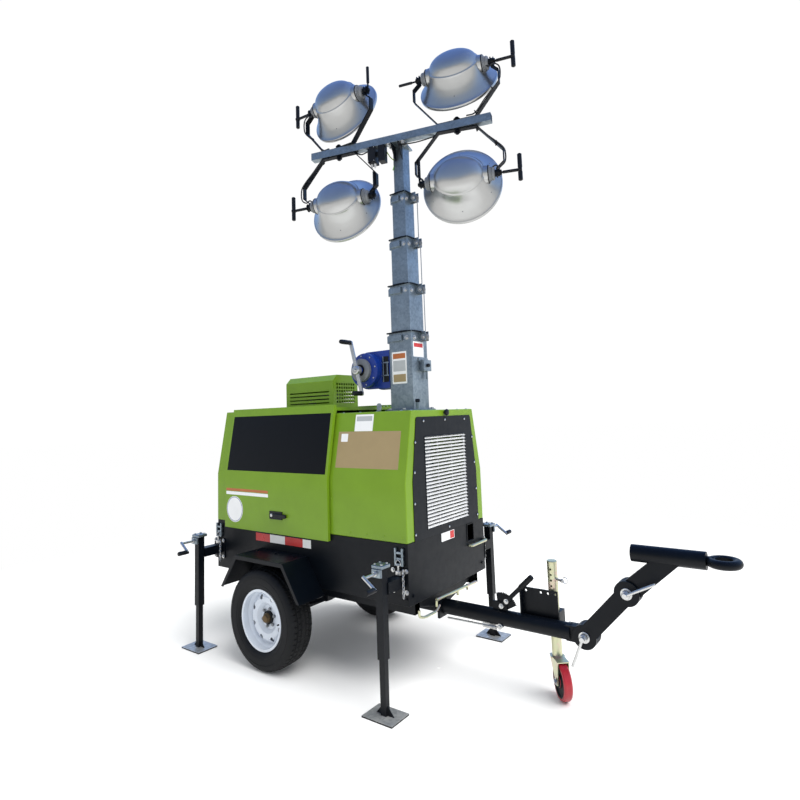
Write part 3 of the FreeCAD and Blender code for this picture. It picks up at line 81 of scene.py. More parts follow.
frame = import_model()
joints = {joint["name"]: joint for joint in frame["joints"]}

TAU = 2.0 * math.pi
SIDES = (("right", -1), ("left", 1))
ENDS = ("front", "rear")
LAMP_NAMES = ("upper_front", "upper_rear", "lower_front", "lower_rear")
X_AXIS = np.array((1.0, 0.0, 0.0))
Y_AXIS = np.array((0.0, 1.0, 0.0))
Z_AXIS = np.array((0.0, 0.0, 1.0))


# Places and directions

def corner(node):
    """Lowest and highest corner of a CAD node as arrays."""
    low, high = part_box(node)
    return np.array(low), np.array(high)


def middle(node):
    """Centre of a CAD node's box."""
    low, high = corner(node)
    return (low + high) / 2


def unit(vector):
    """The vector divided by its length."""
    vector = np.asarray(vector, float)
    return vector / np.linalg.norm(vector)


def place(origin, along=Z_AXIS, across=None):
    """4x4 matrix whose local Z is along and whose local X is across, made square to it."""
    w = unit(along)
    if across is None:
        across = X_AXIS if abs(w[0]) < 0.9 else Y_AXIS
    u = unit(np.asarray(across, float) - w * (np.asarray(across, float) @ w))
    matrix = np.eye(4)
    matrix[:3, 0] = u
    matrix[:3, 1] = np.cross(w, u)
    matrix[:3, 2] = w
    matrix[:3, 3] = origin
    return matrix


def carried(points, matrix):
    """Points taken through a 4x4 matrix."""
    return points @ matrix[:3, :3].T + matrix[:3, 3]


# Outlines in a plane, counter-clockwise

def ring_outline(radius, sides):
    """radius times (cos a, sin a) for equal steps of a."""
    angle = np.arange(sides) * TAU / sides
    return radius * np.stack((np.cos(angle), np.sin(angle)), 1)


def around(count, phase, radius=1.0):
    """radius times cosine and sine of count equal steps of a turn, from phase on."""
    turns = [step * TAU / count + phase for step in range(count)]
    return [(radius * math.cos(turn), radius * math.sin(turn)) for turn in turns]


def circle(centre, across, up, radius, steps, tall=None):
    """Points centre + radius cos a across + tall sin a up; tall is the radius unless it is given."""
    angle = (np.arange(steps) * TAU / steps)[:, None]
    return centre + across * np.cos(angle) * radius + up * np.sin(angle) * (tall or radius)


def four(width, height):
    """The corners of a rectangle about zero, by half its width and height."""
    return ((-width, -height), (-width, height), (width, -height), (width, height))


def box_outline(width, height, radius, steps=5):
    """Rectangle whose corners are quarter circles of the radius."""
    angle = np.linspace(0, math.pi / 2, steps)
    quarter = np.stack((np.cos(angle), np.sin(angle)), 1) * radius
    parts = []
    for turn, (sx, sy) in enumerate(((1, 1), (-1, 1), (-1, -1), (1, -1))):
        cosine, sine = math.cos(turn * math.pi / 2), math.sin(turn * math.pi / 2)
        spun = quarter @ np.array(((cosine, sine), (-sine, cosine)))
        parts.append(spun + np.array((sx * (width / 2 - radius), sy * (height / 2 - radius))))
    return np.concatenate(parts)


def inset(outline, amount):
    """Each edge of the outline moved inwards by the amount."""
    edge = np.roll(outline, -1, 0) - outline
    normal = np.stack((-edge[:, 1], edge[:, 0]), 1) / np.linalg.norm(edge, axis=1)[:, None]
    before = np.roll(normal, 1, 0)
    joint = before + normal
    joint = joint / (1 + (before * normal).sum(1))[:, None]
    return outline + joint * amount


class Shape:
    """Surfaces gathered into one mesh."""

    def __init__(self):
        self.points = []
        self.faces = []
        self.along = []
        self.count = 0

    def add(self, points, faces, along=None):
        """Take in points, their faces and one value per point for patterns along the surface."""
        points = np.asarray(points, float).reshape(-1, 3)
        self.points.append(points)
        self.along.append(np.zeros(len(points)) if along is None else np.asarray(along, float).ravel())
        self.faces.extend([[index + self.count for index in face] for face in faces])
        self.count += len(points)
        return self

    def grid(self, points, wrap_rows=False, wrap_columns=False, ends=False, along=None):
        """Quads between neighbouring points [row, column]; ends closes the first and last row with a face."""
        rows, columns = points.shape[:2]
        index = np.arange(rows * columns).reshape(rows, columns)
        if wrap_rows:
            index = np.concatenate((index, index[:1]))
        if wrap_columns:
            index = np.concatenate((index, index[:, :1]), 1)
        quads = np.stack((index[:-1, :-1], index[:-1, 1:], index[1:, 1:], index[1:, :-1]), -1)
        faces = quads.reshape(-1, 4).tolist()
        if ends:
            last = (rows - 1) * columns
            faces.append(list(range(columns))[::-1])
            faces.append([last + step for step in range(columns)])
        return self.add(points, faces, along)

    def framed(self, outer, inner, low, high, matrix):
        """Plate with an opening: outer and inner outline at both heights, joined all round."""
        rows = [np.concatenate((flat, np.full((len(flat), 1), height)), 1)
                for flat, height in ((outer, low), (outer, high), (inner, high), (inner, low))]
        return self.grid(carried(np.stack(rows), matrix), wrap_rows=True, wrap_columns=True)

    def coil(self, start, axis, across, up, reach, radius, turns, wire, steps):
        """Wire wound round an axis: a ring of six points carried along a helix."""
        share = np.linspace(0, 1, turns * steps)[:, None]
        angle = share * turns * TAU
        radial = across * np.cos(angle) + up * np.sin(angle)
        centre = start + axis * reach * share + radial * radius
        ring = ring_outline(wire, 6)
        points = centre[:, None] + radial[:, None] * ring[None, :, :1] + axis * ring[None, :, 1:]
        return self.grid(points, wrap_columns=True, ends=True)

    def plate(self, outline, thickness, matrix, edge=0.0, lift=0.0):
        """Outline carried along local Z, with its edges cut back by edge at both faces."""
        edge = min(edge, thickness * 0.45)
        levels = ((edge, 0.0), (0.0, edge), (0.0, thickness - edge), (edge, thickness))
        if edge == 0:
            levels = ((0.0, 0.0), (0.0, thickness))
        rows = []
        for back, height in levels:
            flat = inset(outline, back) if back else outline
            rows.append(np.concatenate((flat, np.full((len(flat), 1), height + lift)), 1))
        points = np.stack(rows)
        return self.grid(carried(points, matrix), wrap_columns=True, ends=True)

    def block(self, low, high, edge=0.0015, corner_radius=None):
        """A box between two corners with rounded upright edges and eased rims."""
        low, high = np.minimum(low, high), np.maximum(low, high)
        size = high - low
        radius = min(size[0], size[1]) * 0.2 if corner_radius is None else corner_radius
        radius = min(radius, min(size[0], size[1]) * 0.49)
        origin = (low + high) / 2
        origin[2] = low[2]
        return self.plate(box_outline(size[0], size[1], max(radius, 1e-4), 4), size[2], place(origin), edge)

    def lathe(self, profile, matrix, steps=64, closed=False):
        """(r cos a, r sin a, z) for every (r, z) of the profile; closed joins its ends."""
        profile = np.asarray(profile, float)
        angle = np.arange(steps) * TAU / steps
        points = np.empty((len(profile), steps, 3))
        points[:, :, 0] = profile[:, :1] * np.cos(angle)
        points[:, :, 1] = profile[:, :1] * np.sin(angle)
        points[:, :, 2] = profile[:, 1:]
        run = np.concatenate(((0.0,), np.cumsum(np.linalg.norm(np.diff(profile, axis=0), axis=1))))
        along = np.repeat(run, steps)
        return self.grid(
            carried(points, matrix), wrap_rows=closed, wrap_columns=True, ends=not closed, along=along)

    def rod(self, start, end, radius, sides=16, edge=0.0):
        """A round bar from start to end with eased ends."""
        start, end = np.asarray(start, float), np.asarray(end, float)
        length = np.linalg.norm(end - start)
        matrix = place(start, end - start)
        return self.plate(ring_outline(radius, sides), length, matrix, edge or min(radius, length) * 0.15)

    def pipe(self, path, radius, sides=10, closed=False):
        """A circle carried along a path, square to it."""
        return self.section(path, ring_outline(radius, sides), closed)

    def section(self, path, outline, closed=False):
        """An outline (across, up) carried along a path; up is the normal of the path's own plane."""
        path = np.asarray(path, float)
        if closed:
            tangent = np.roll(path, -1, 0) - np.roll(path, 1, 0)
        else:
            tangent = np.gradient(path, axis=0)
        tangent /= np.linalg.norm(tangent, axis=1)[:, None]
        up = np.linalg.svd(path - path.mean(0))[2][2]
        side = np.cross(up, tangent)
        side /= np.linalg.norm(side, axis=1)[:, None]
        rise = np.cross(tangent, side)
        points = (
            path[:, None] + side[:, None] * outline[None, :, :1] + rise[:, None] * outline[None, :, 1:])
        run = np.concatenate(((0.0,), np.cumsum(np.linalg.norm(np.diff(path, axis=0), axis=1))))
        along = np.repeat(run, len(outline))
        return self.grid(points, wrap_rows=closed, wrap_columns=True, ends=not closed, along=along)

    def bolt(self, at, axis, across_flats, height, washer=True):
        """Hexagon head with a chamfered top, on a washer."""
        matrix = place(at, axis)
        if washer:
            self.plate(ring_outline(across_flats * 0.95, 20), height * 0.22, matrix, height * 0.05)
        head = ring_outline(across_flats / math.sqrt(3), 6)
        self.plate(head, height, matrix, height * 0.12, lift=height * 0.2)
        return self

    def screw(self, at, axis, radius):
        """Low domed screw head: height falls with the square of the distance from the middle."""
        share = np.linspace(1.0, 0.12, 5)
        profile = np.stack((radius * share, radius * 0.55 * (1 - share ** 2)), 1)
        profile = np.concatenate((((radius, -0.0004),), profile))
        return self.lathe(profile, place(at, axis), 14)


def smooth_path(points, steps=6):
    """Curve through the points: each span is the cubic that keeps its neighbours' mean slope."""
    points = np.asarray(points, float)
    before = np.concatenate((points[:1] * 2 - points[1:2], points[:-1]))
    after = np.concatenate((points[1:], points[-1:] * 2 - points[-2:-1]))
    slope = (after - before) / 2
    share = (np.arange(steps) / steps)[None, :, None]
    start, end = points[:-1, None], points[1:, None]
    pull, push = slope[:-1, None], slope[1:, None]
    curve = (
        start * (2 * share ** 3 - 3 * share ** 2 + 1) + pull * (share ** 3 - 2 * share ** 2 + share)
        + end * (3 * share ** 2 - 2 * share ** 3) + push * (share ** 3 - share ** 2))
    return np.concatenate((curve.reshape(-1, 3), points[-1:]))


def bent_path(points, radius, steps=6):
    """Straight runs whose corners are cut by a parabola that starts radius before each."""
    points = np.asarray(points, float)
    parts = [points[:1]]
    share = np.linspace(0, 1, steps)[:, None]
    for before, here, after in zip(points[:-2], points[1:-1], points[2:]):
        reach = min(radius, np.linalg.norm(before - here) * 0.45, np.linalg.norm(after - here) * 0.45)
        start = here + unit(before - here) * reach
        end = here + unit(after - here) * reach
        parts.append(start * (1 - share) ** 2 + here * 2 * share * (1 - share) + end * share ** 2)
    parts.append(points[-1:])
    return np.concatenate(parts)


def bent_loop(points, radius):
    """Closed path whose corners are cut in the same way."""
    return bent_path(np.concatenate((points, points[:2])), radius, 4)[4:]


# Materials: effects holds the shared node groups, look the finishes

effects = {}
look = {}


def link(tree, source, target):
    """Join an output to an input."""
    tree.links.new(source, target)


def wires(tree, *pairs):
    """Join outputs to inputs, each pair given as node, output, node, input."""
    for source, way_out, target, way_in in pairs:
        link(tree, source.outputs[way_out], target.inputs[way_in])


def add_node(tree, kind, **settings):
    """A node of the tree with its inputs and properties set by name."""
    made = tree.nodes.new(kind)
    for name, value in settings.items():
        label = name.replace("_", " ")
        if label in made.inputs:
            made.inputs[label].default_value = value
        else:
            setattr(made, name, value)
    return made


def started(name, output, **inputs):
    """A new node group with one output: its tree, its two ends and object coordinates."""
    group = bpy.data.node_groups.new(name, "ShaderNodeTree")
    for label, value in inputs.items():
        made = group.interface.new_socket(name=label, in_out="INPUT", socket_type="NodeSocketFloat")
        made.default_value = value
    kind = "NodeSocketVector" if output == "Normal" else "NodeSocketFloat"
    group.interface.new_socket(name=output, in_out="OUTPUT", socket_type=kind)
    kinds = ("NodeGroupInput", "NodeGroupOutput", "ShaderNodeTexCoord")
    return group, *(add_node(group, kind) for kind in kinds)


def mottle_group():
    """Soft light and dark patches: one noise stretched between two limits."""
    group, enter, leave, where = started("Mottle", "Mask", Scale=8.0, Low=0.3, High=0.7)
    noise = add_node(group, "ShaderNodeTexNoise", Detail=6.0, Roughness=0.62)
    spread = add_node(group, "ShaderNodeMapRange")
    wires(group, (where, "Object", noise, "Vector"), (enter, "Scale", noise, "Scale"),
          (noise, "Fac", spread, "Value"), (enter, "Low", spread, "From Min"),
          (enter, "High", spread, "From Max"), (spread, "Result", leave, "Mask"))
    return group


def spangle_group():
    """Zinc crystals: cells with one grey each, blurred a little by noise."""
    group, enter, leave, where = started("Spangle", "Mask", Scale=90.0)
    warp = add_node(group, "ShaderNodeTexNoise", Scale=40.0, Detail=2.0)
    shift = add_node(group, "ShaderNodeVectorMath", operation="MULTIPLY_ADD")
    shift.inputs[1].default_value = (0.012, 0.012, 0.012)
    cells = add_node(group, "ShaderNodeTexVoronoi", feature="F1")
    grey = add_node(group, "ShaderNodeSeparateColor")
    wires(group, (where, "Object", warp, "Vector"), (warp, "Color", shift, 0), (where, "Object", shift, 2),
          (shift, "Vector", cells, "Vector"), (enter, "Scale", cells, "Scale"),
          (cells, "Color", grey, "Color"), (grey, "Red", leave, "Mask"))
    return group


def grain_group():
    """Fine surface unevenness as a normal: noise height through a bump."""
    group, enter, leave, where = started("Grain", "Normal", Scale=400.0, Depth=0.0002)
    noise = add_node(group, "ShaderNodeTexNoise", Detail=3.0, Roughness=0.5)
    bump = add_node(group, "ShaderNodeBump", Strength=1.0)
    wires(group, (where, "Object", noise, "Vector"), (enter, "Scale", noise, "Scale"),
          (noise, "Fac", bump, "Height"), (enter, "Depth", bump, "Distance"),
          (bump, "Normal", leave, "Normal"))
    return group


def dust_group():
    """Dust that thickens towards the ground: height above the floor times a noise."""
    group, enter, leave, where = started("Road Dust", "Mask", Top=0.5, Amount=0.3)
    split = add_node(group, "ShaderNodeSeparateXYZ")
    noise = add_node(group, "ShaderNodeTexNoise", Scale=14.0, Detail=5.0, Roughness=0.7)
    fall = add_node(group, "ShaderNodeMapRange", To_Min=1.0, To_Max=0.0)
    patch = add_node(group, "ShaderNodeMath", operation="MULTIPLY")
    share = add_node(group, "ShaderNodeMath", operation="MULTIPLY", use_clamp=True)
    wires(group, (where, "Object", split, "Vector"), (where, "Object", noise, "Vector"),
          (split, "Z", fall, "Value"), (enter, "Top", fall, "From Max"), (fall, "Result", patch, 0),
          (noise, "Fac", patch, 1), (patch, "Value", share, 0), (enter, "Amount", share, 1),
          (share, "Value", leave, "Mask"))
    return group


def used(tree, effect, **values):
    """The output of a shared effect placed in a material with its own values."""
    made = add_node(tree, "ShaderNodeGroup", node_tree=effects[effect])
    for name, value in values.items():
        made.inputs[name].default_value = value
    return made.outputs[0]


def mixed(tree, mask, *ends):
    """Colour that goes from the first end to the second with the mask; an end may be an output."""
    made = add_node(tree, "ShaderNodeMix", data_type="RGBA")
    link(tree, mask, made.inputs[0])
    for way_in, end in zip(made.inputs[6:8], ends):
        if isinstance(end, bpy.types.NodeSocket):
            link(tree, end, way_in)
        else:
            way_in.default_value = (*end, 1.0)
    return made.outputs[2]


def ranged(tree, mask, low, high, start=0.0, stop=1.0):
    """Value that goes from low to high while the mask goes from start to stop."""
    made = add_node(tree, "ShaderNodeMapRange", From_Min=start, From_Max=stop, To_Min=low, To_Max=high)
    link(tree, mask, made.inputs["Value"])
    return made.outputs["Result"]


def ramped(tree, mask, stops):
    """Colour ramp through the stops, each a position and a colour."""
    ramp = add_node(tree, "ShaderNodeValToRGB")
    elements = ramp.color_ramp.elements
    for element, (position, colour) in zip(elements, (stops[0], stops[-1])):
        element.position = position
        element.color = (*colour, 1.0)
    for position, colour in stops[1:-1]:
        elements.new(position).color = (*colour, 1.0)
    link(tree, mask, ramp.inputs["Fac"])
    return ramp.outputs["Color"]


def scaled(colour, factor):
    """A colour made darker or lighter by a factor."""
    return tuple(part * factor for part in colour)


def new_material(name, **settings):
    """A material with its shader's plain sockets set; returns the material, its tree and shader."""
    material = bpy.data.materials.new(name)
    material.use_nodes = True
    tree = material.node_tree
    shader = tree.nodes["Principled BSDF"]
    for label, value in settings.items():
        shader.inputs[label.replace("_", " ")].default_value = value
    return material, tree, shader


def fed(made, colour, roughness, normal=None):
    """The new material with outputs joined to its shader's colour, roughness and normal."""
    material, tree, shader = made
    for label, source in (("Base Color", colour), ("Roughness", roughness), ("Normal", normal)):
        if source:
            link(tree, source, shader.inputs[label])
    return material


ROAD_DUST = (0.16, 0.14, 0.115)


def paint(name, colour, shade, roughness, coat=0.4, dust=0.0, dust_top=0.6, grain=0.00003, gloss=0.32):
    """Sprayed paint: slow drift of colour, orange-peel and a little dust low down."""
    made = new_material(name, Coat_Weight=coat, Coat_Roughness=0.12, Specular_IOR_Level=gloss)
    tree = made[1]
    tone = mixed(tree, used(tree, "mottle", Scale=5.0, Low=0.35, High=0.7), colour, shade)
    if dust:
        tone = mixed(tree, used(tree, "dust", Top=dust_top, Amount=dust), tone, ROAD_DUST)
    wear = used(tree, "mottle", Scale=23.0, Low=0.3, High=0.75)
    peel = used(tree, "grain", Scale=260.0, Depth=grain)
    return fed(made, tone, ranged(tree, wear, roughness, roughness + 0.14), peel)


def zinc(name, dark, light, scale, low, high, metal=0.9):
    """Zinc-coated steel: crystals of two greys, stains and uneven gloss."""
    made = new_material(name, Metallic=metal)
    tree = made[1]
    stain = add_node(tree, "ShaderNodeMath", operation="MULTIPLY")
    stain.inputs[1].default_value = 0.55
    link(tree, used(tree, "mottle", Scale=9.0, Low=0.3, High=0.75), stain.inputs[0])
    both = add_node(tree, "ShaderNodeMath", operation="MULTIPLY_ADD", use_clamp=True)
    both.inputs[1].default_value = 0.45
    link(tree, used(tree, "spangle", Scale=scale), both.inputs[0])
    link(tree, stain.outputs["Value"], both.inputs[2])
    mask = both.outputs["Value"]
    rough = used(tree, "grain", Scale=120.0, Depth=0.00012)
    return fed(made, mixed(tree, mask, dark, light), ranged(tree, mask, high, low), rough)


def plain_grain(name, colour, shade, roughness, grain=0.0001, scale=500.0, metal=0.0, **settings):
    """Moulded or rubber surface: two close tones and a fine grain."""
    made = new_material(name, Metallic=metal, **settings)
    tree = made[1]
    patches = used(tree, "mottle", Scale=12.0, Low=0.3, High=0.7)
    fine = used(tree, "grain", Scale=scale, Depth=grain)
    return fed(made, mixed(tree, patches, colour, shade),
               ranged(tree, patches, roughness, roughness + 0.1), fine)


def spun(name, colour, shade, low, high):
    """Spun metal: grooves that run round the piece, read from the length along its profile."""
    made = new_material(name, Metallic=0.92)
    tree = made[1]
    along = add_node(tree, "ShaderNodeAttribute", attribute_name="along")
    grooves = add_node(tree, "ShaderNodeTexNoise", noise_dimensions="1D", Scale=320.0, Detail=1.0)
    bands = add_node(tree, "ShaderNodeTexNoise", noise_dimensions="1D", Scale=60.0, Detail=3.0)
    bump = add_node(tree, "ShaderNodeBump", Strength=0.05, Distance=0.000003)
    wires(tree, (along, "Fac", grooves, "W"), (along, "Fac", bands, "W"), (grooves, "Fac", bump, "Height"))
    haze = used(tree, "mottle", Scale=2.5, Low=0.3, High=0.72)
    return fed(made, mixed(tree, haze, colour, shade), ranged(tree, bands.outputs["Fac"], low, high),
               bump.outputs["Normal"])


def clear_glass(name, tint):
    """Clear glass with a trace of tint and smears in its gloss."""
    made = new_material(name, Transmission_Weight=1.0, IOR=1.47, Metallic=0.0)
    tree = made[1]
    smear = used(tree, "mottle", Scale=6.0, Low=0.4, High=0.8)
    return fed(made, mixed(tree, smear, tint, scaled(tint, 0.97)), ranged(tree, smear, 0.01, 0.06))


def iridescent(name):
    """Yellow zinc: straw, green and rose patches over bright metal."""
    made = new_material(name, Metallic=0.9)
    tree = made[1]
    patches = used(tree, "mottle", Scale=16.0, Low=0.28, High=0.72)
    tone = ramped(tree, patches, ((0.0, (0.62, 0.55, 0.34)), (0.5, (0.58, 0.6, 0.4)),
                                  (0.75, (0.66, 0.5, 0.42)), (1.0, (0.66, 0.62, 0.5))))
    fine = used(tree, "grain", Scale=300.0, Depth=0.00004)
    return fed(made, tone, ranged(tree, patches, 0.25, 0.42), fine)


def finishes(colours):
    """Every material of the tower by a plain name."""
    effects.update(
        mottle=mottle_group(), spangle=spangle_group(), grain=grain_group(), dust=dust_group())
    lime, black, panel, winch, castor, tan = (
        tuple(getattr(colours, name)) for name in ("lime", "black", "panel", "winch", "castor", "tan"))
    return {
        "lime": paint("Lime enamel", lime, scaled(lime, 0.9), 0.3, coat=0.2),
        "black": paint("Chassis black", black, scaled(black, 1.5), 0.34, coat=0.0, dust=0.07,
                       dust_top=0.5, gloss=0.2),
        "panel": paint("Panel black", panel, scaled(panel, 1.25), 0.4, coat=0.0, grain=0.00006, gloss=0.24),
        "galvanised": zinc("Galvanised steel", (0.2, 0.24, 0.27), (0.36, 0.42, 0.46), 70.0, 0.3, 0.5),
        "bright zinc": zinc("Bright zinc", (0.5, 0.5, 0.49), (0.72, 0.72, 0.71), 300.0, 0.22, 0.38),
        "yellow zinc": iridescent("Yellow zinc"),
        "reflector": spun("Spun aluminium", (0.52, 0.52, 0.51), (0.46, 0.465, 0.46), 0.26, 0.33),
        "inner reflector": spun("Polished aluminium", (0.86, 0.86, 0.87), (0.8, 0.8, 0.82), 0.06, 0.16),
        "slats": paint("Silver slats", (0.72, 0.73, 0.74), (0.62, 0.63, 0.65), 0.3, coat=0.2),
        "glass": clear_glass("Lamp glass", (0.93, 0.96, 0.97)),
        "bulb": clear_glass("Bulb glass", (0.97, 0.97, 0.95)),
        "blue": paint("Winch blue", winch, scaled(winch, 0.8), 0.28, coat=0.4),
        "tyre": plain_grain("Tyre rubber", (0.0045, 0.005, 0.0058), (0.01, 0.0102, 0.0105), 0.6, 0.00025,
                            350.0, Specular_IOR_Level=0.22),
        "rubber": plain_grain("Black rubber", (0.005, 0.0055, 0.0062), (0.01, 0.0105, 0.0115), 0.55,
                              Specular_IOR_Level=0.25),
        "plastic": plain_grain("Black plastic", (0.004, 0.005, 0.0075), (0.008, 0.009, 0.012), 0.4, 0.00008,
                               Specular_IOR_Level=0.28),
        "rim": paint("Wheel enamel", (0.66, 0.71, 0.78), (0.56, 0.61, 0.69), 0.3, coat=0.3, dust=0.35,
                     dust_top=0.4),
        "red": paint("Red polyurethane", castor, scaled(castor, 0.7), 0.3, coat=0.2, dust=0.3, dust_top=0.2),
        "cast": plain_grain("Cast aluminium", (0.2, 0.21, 0.22), (0.27, 0.28, 0.29), 0.5, 0.0003, 420.0, 0.6),
        "engine": paint("Engine grey", (0.09, 0.095, 0.1), (0.13, 0.135, 0.14), 0.5, coat=0.0),
        "ceramic": plain_grain("Lamp holder ceramic", (0.62, 0.6, 0.56), (0.7, 0.68, 0.64), 0.5),
        "cream": plain_grain("Cream vinyl", (0.82, 0.83, 0.84), (0.78, 0.79, 0.8), 0.35, 0.00002),
        "tan": plain_grain("Tan vinyl", tan, scaled(tan, 0.93), 0.38, 0.00002),
        "black vinyl": plain_grain("Black vinyl", (0.001, 0.001, 0.0015), (0.0016, 0.0016, 0.002), 0.42,
                                   0.00002, Specular_IOR_Level=0.2),
        "orange": plain_grain("Orange vinyl", (0.44, 0.13, 0.03), (0.4, 0.115, 0.03), 0.35, 0.00002),
        "red vinyl": plain_grain("Reflective red", (0.55, 0.02, 0.02), (0.48, 0.02, 0.02), 0.25, 0.00006,
                                 900.0),
        "grey label": plain_grain("Grey vinyl", (0.42, 0.44, 0.46), (0.38, 0.4, 0.42), 0.35, 0.00002),
        "sheath": plain_grain("Cable sheath", (0.012, 0.012, 0.013), (0.02, 0.02, 0.02), 0.45),
        "conduit": plain_grain("Grey conduit", (0.3, 0.32, 0.34), (0.36, 0.38, 0.4), 0.42),
        "earth wire": plain_grain("Green and yellow wire", (0.1, 0.4, 0.03), (0.55, 0.6, 0.03), 0.4),
        "foot zinc": zinc("Worn zinc", (0.3, 0.31, 0.3), (0.62, 0.63, 0.62), 60.0, 0.35, 0.6, 0.6),
        "bronze": plain_grain("Bronze cap", (0.09, 0.06, 0.03), (0.15, 0.1, 0.05), 0.35, 0.0001, 500.0, 0.85),
        "rope": plain_grain("Wire rope", (0.3, 0.31, 0.33), (0.4, 0.41, 0.43), 0.4, 0.0002, 900.0, 0.8),
    }


def model_piece(name, shape, finish, body, replaces=(), smooth=35.0, bevel=0.0):
    """Put a shape into a mesh with outward faces, give it its finish and let it ride on a body."""
    mesh = bpy.data.meshes.new(name)
    mesh.from_pydata(np.concatenate(shape.points).tolist(), [], shape.faces)
    along = mesh.attributes.new("along", "FLOAT", "POINT")
    along.data.foreach_set("value", np.concatenate(shape.along).astype(np.float32))
    work = bmesh.new()
    work.from_mesh(mesh)
    bmesh.ops.recalc_face_normals(work, faces=work.faces)
    work.to_mesh(mesh)
    work.free()
    return finished(name, mesh, finish, body, replaces, smooth, bevel)


def finished(name, mesh, finish, body, replaces, smooth, bevel):
    """The object of a mesh, shaded, coloured and carried."""
    mesh.shade_smooth()
    mesh.set_sharp_from_angle(angle=math.radians(smooth))
    piece = bpy.data.objects.new(name, mesh)
    bpy.context.scene.collection.objects.link(piece)
    mesh.materials.append(look[finish])
    if bevel:
        modifier = piece.modifiers.new("Edges", "BEVEL")
        modifier.width = bevel
        modifier.segments = 2
        modifier.limit_method = "ANGLE"
        modifier.angle_limit = math.radians(40)
        modifier.harden_normals = True
    if body:
        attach(piece, body)
    if replaces:
        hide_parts(*replaces)
    return piece


def eased(node, finish, width=0.002):
    """A merged copy of a CAD node with its sharp edges rounded, in place of the node."""
    source = frame["nodes"][node]
    mesh = source.data.copy()
    if "custom_normal" in mesh.attributes:
        mesh.attributes.remove(mesh.attributes["custom_normal"])
    work = bmesh.new()
    work.from_mesh(mesh)
    bmesh.ops.remove_doubles(work, verts=work.verts, dist=0.00002)
    bmesh.ops.dissolve_limit(
        work, angle_limit=math.radians(0.5), verts=work.verts, edges=work.edges, delimit={"NORMAL"})
    bmesh.ops.recalc_face_normals(work, faces=work.faces)
    work.to_mesh(mesh)
    work.free()
    mesh.materials.clear()
    return finished(
        node + "_eased", mesh, finish, source["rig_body"], (node,), 30.0, width)


def coat(node, finish):
    """Give a CAD node that stays its finish."""
    piece = frame["nodes"][node]
    piece.data.materials.clear()
    piece.data.materials.append(look[finish])
    return piece


def joint_frame(name):
    """Place and unit axis of a joint at rest."""
    joint = joints[name]
    return np.array(joint["pos_m"], float), unit(joint["axis"])


# Places on the tower that its fittings share, in metres

CREASE = 1.175
ARM_Z = 0.64
DOOR_HALF, DOOR_TOP, DOOR_ROOF = 0.468, 0.386, 1.641
FRONT_HALF, FRONT_TOP, FRONT_ROOF = 0.443, 0.361, 1.585
REAR_ROOF = 1.625
BASE_HALF = 0.443
BASE_FRONT = 0.117
PANEL_FACE = 0.121
MAST_X = -0.143
AXLE_X = -0.906
HEAD_TURN = math.radians(15)
HEAD_ALONG = np.array((math.cos(HEAD_TURN), math.sin(HEAD_TURN), 0.0))
HEAD_BACK = np.array((-math.sin(HEAD_TURN), math.cos(HEAD_TURN), 0.0))


def wall(side, half, top, roof, x, z, lift=0.0):
    """Place on a canopy side: local X along it to the right, Y up it and Z outwards."""
    if z <= CREASE:
        normal = np.array((0.0, side, 0.0))
        depth = half
    else:
        normal = unit((0.0, side * (roof - CREASE), half - top))
        depth = half - (z - CREASE) * (half - top) / (roof - CREASE)
    origin = np.array((x, side * depth, z)) + normal * lift
    return place(origin, normal, X_AXIS * -side)


def decal(matrix, width, height, radius=0.002, thickness=0.0006):
    """A thin rectangle lying on a face, round at its corners."""
    return Shape().plate(box_outline(width, height, radius, 4), thickness, matrix, lift=-0.0002)


# Sizes and colours shown in the panel

class TowerColours(bpy.types.PropertyGroup):
    """Paint and vinyl colours, as linear values."""

    lime: FloatVectorProperty(
        name="Lime", description="Canopy enamel", subtype="COLOR", size=3, default=(0.165, 0.3, 0.012))
    black: FloatVectorProperty(
        name="Black", description="Base, drawbar and jacks", subtype="COLOR", size=3,
        default=(0.0014, 0.0024, 0.0042))
    panel: FloatVectorProperty(
        name="Front panel", description="Powder coat round the louvres", subtype="COLOR", size=3,
        default=(0.0028, 0.0042, 0.0066))
    winch: FloatVectorProperty(
        name="Winch", description="Winch housing", subtype="COLOR", size=3, default=(0.006, 0.035, 0.27))
    castor: FloatVectorProperty(
        name="Castor", description="Jockey wheel tread", subtype="COLOR", size=3,
        default=(0.48, 0.018, 0.035))
    tan: FloatVectorProperty(
        name="Notice", description="Notice on the front canopy", subtype="COLOR", size=3,
        default=(0.34, 0.255, 0.125))


class TyreSizes(bpy.types.PropertyGroup):
    """Tread of the road tyres."""

    groove: FloatProperty(
        name="Groove depth", description="Depth of the tread grooves", default=0.007, min=0.0, max=0.012,
        unit="LENGTH")
    pitches: IntProperty(
        name="Pitches", description="Tread blocks round the tyre", default=54, min=20, max=90)


class FastenerSizes(bpy.types.PropertyGroup):
    """Screws of roof and front panel."""

    screw: FloatProperty(
        name="Screw", description="Radius of a panel screw head", default=0.0085, min=0.003, max=0.02,
        unit="LENGTH")


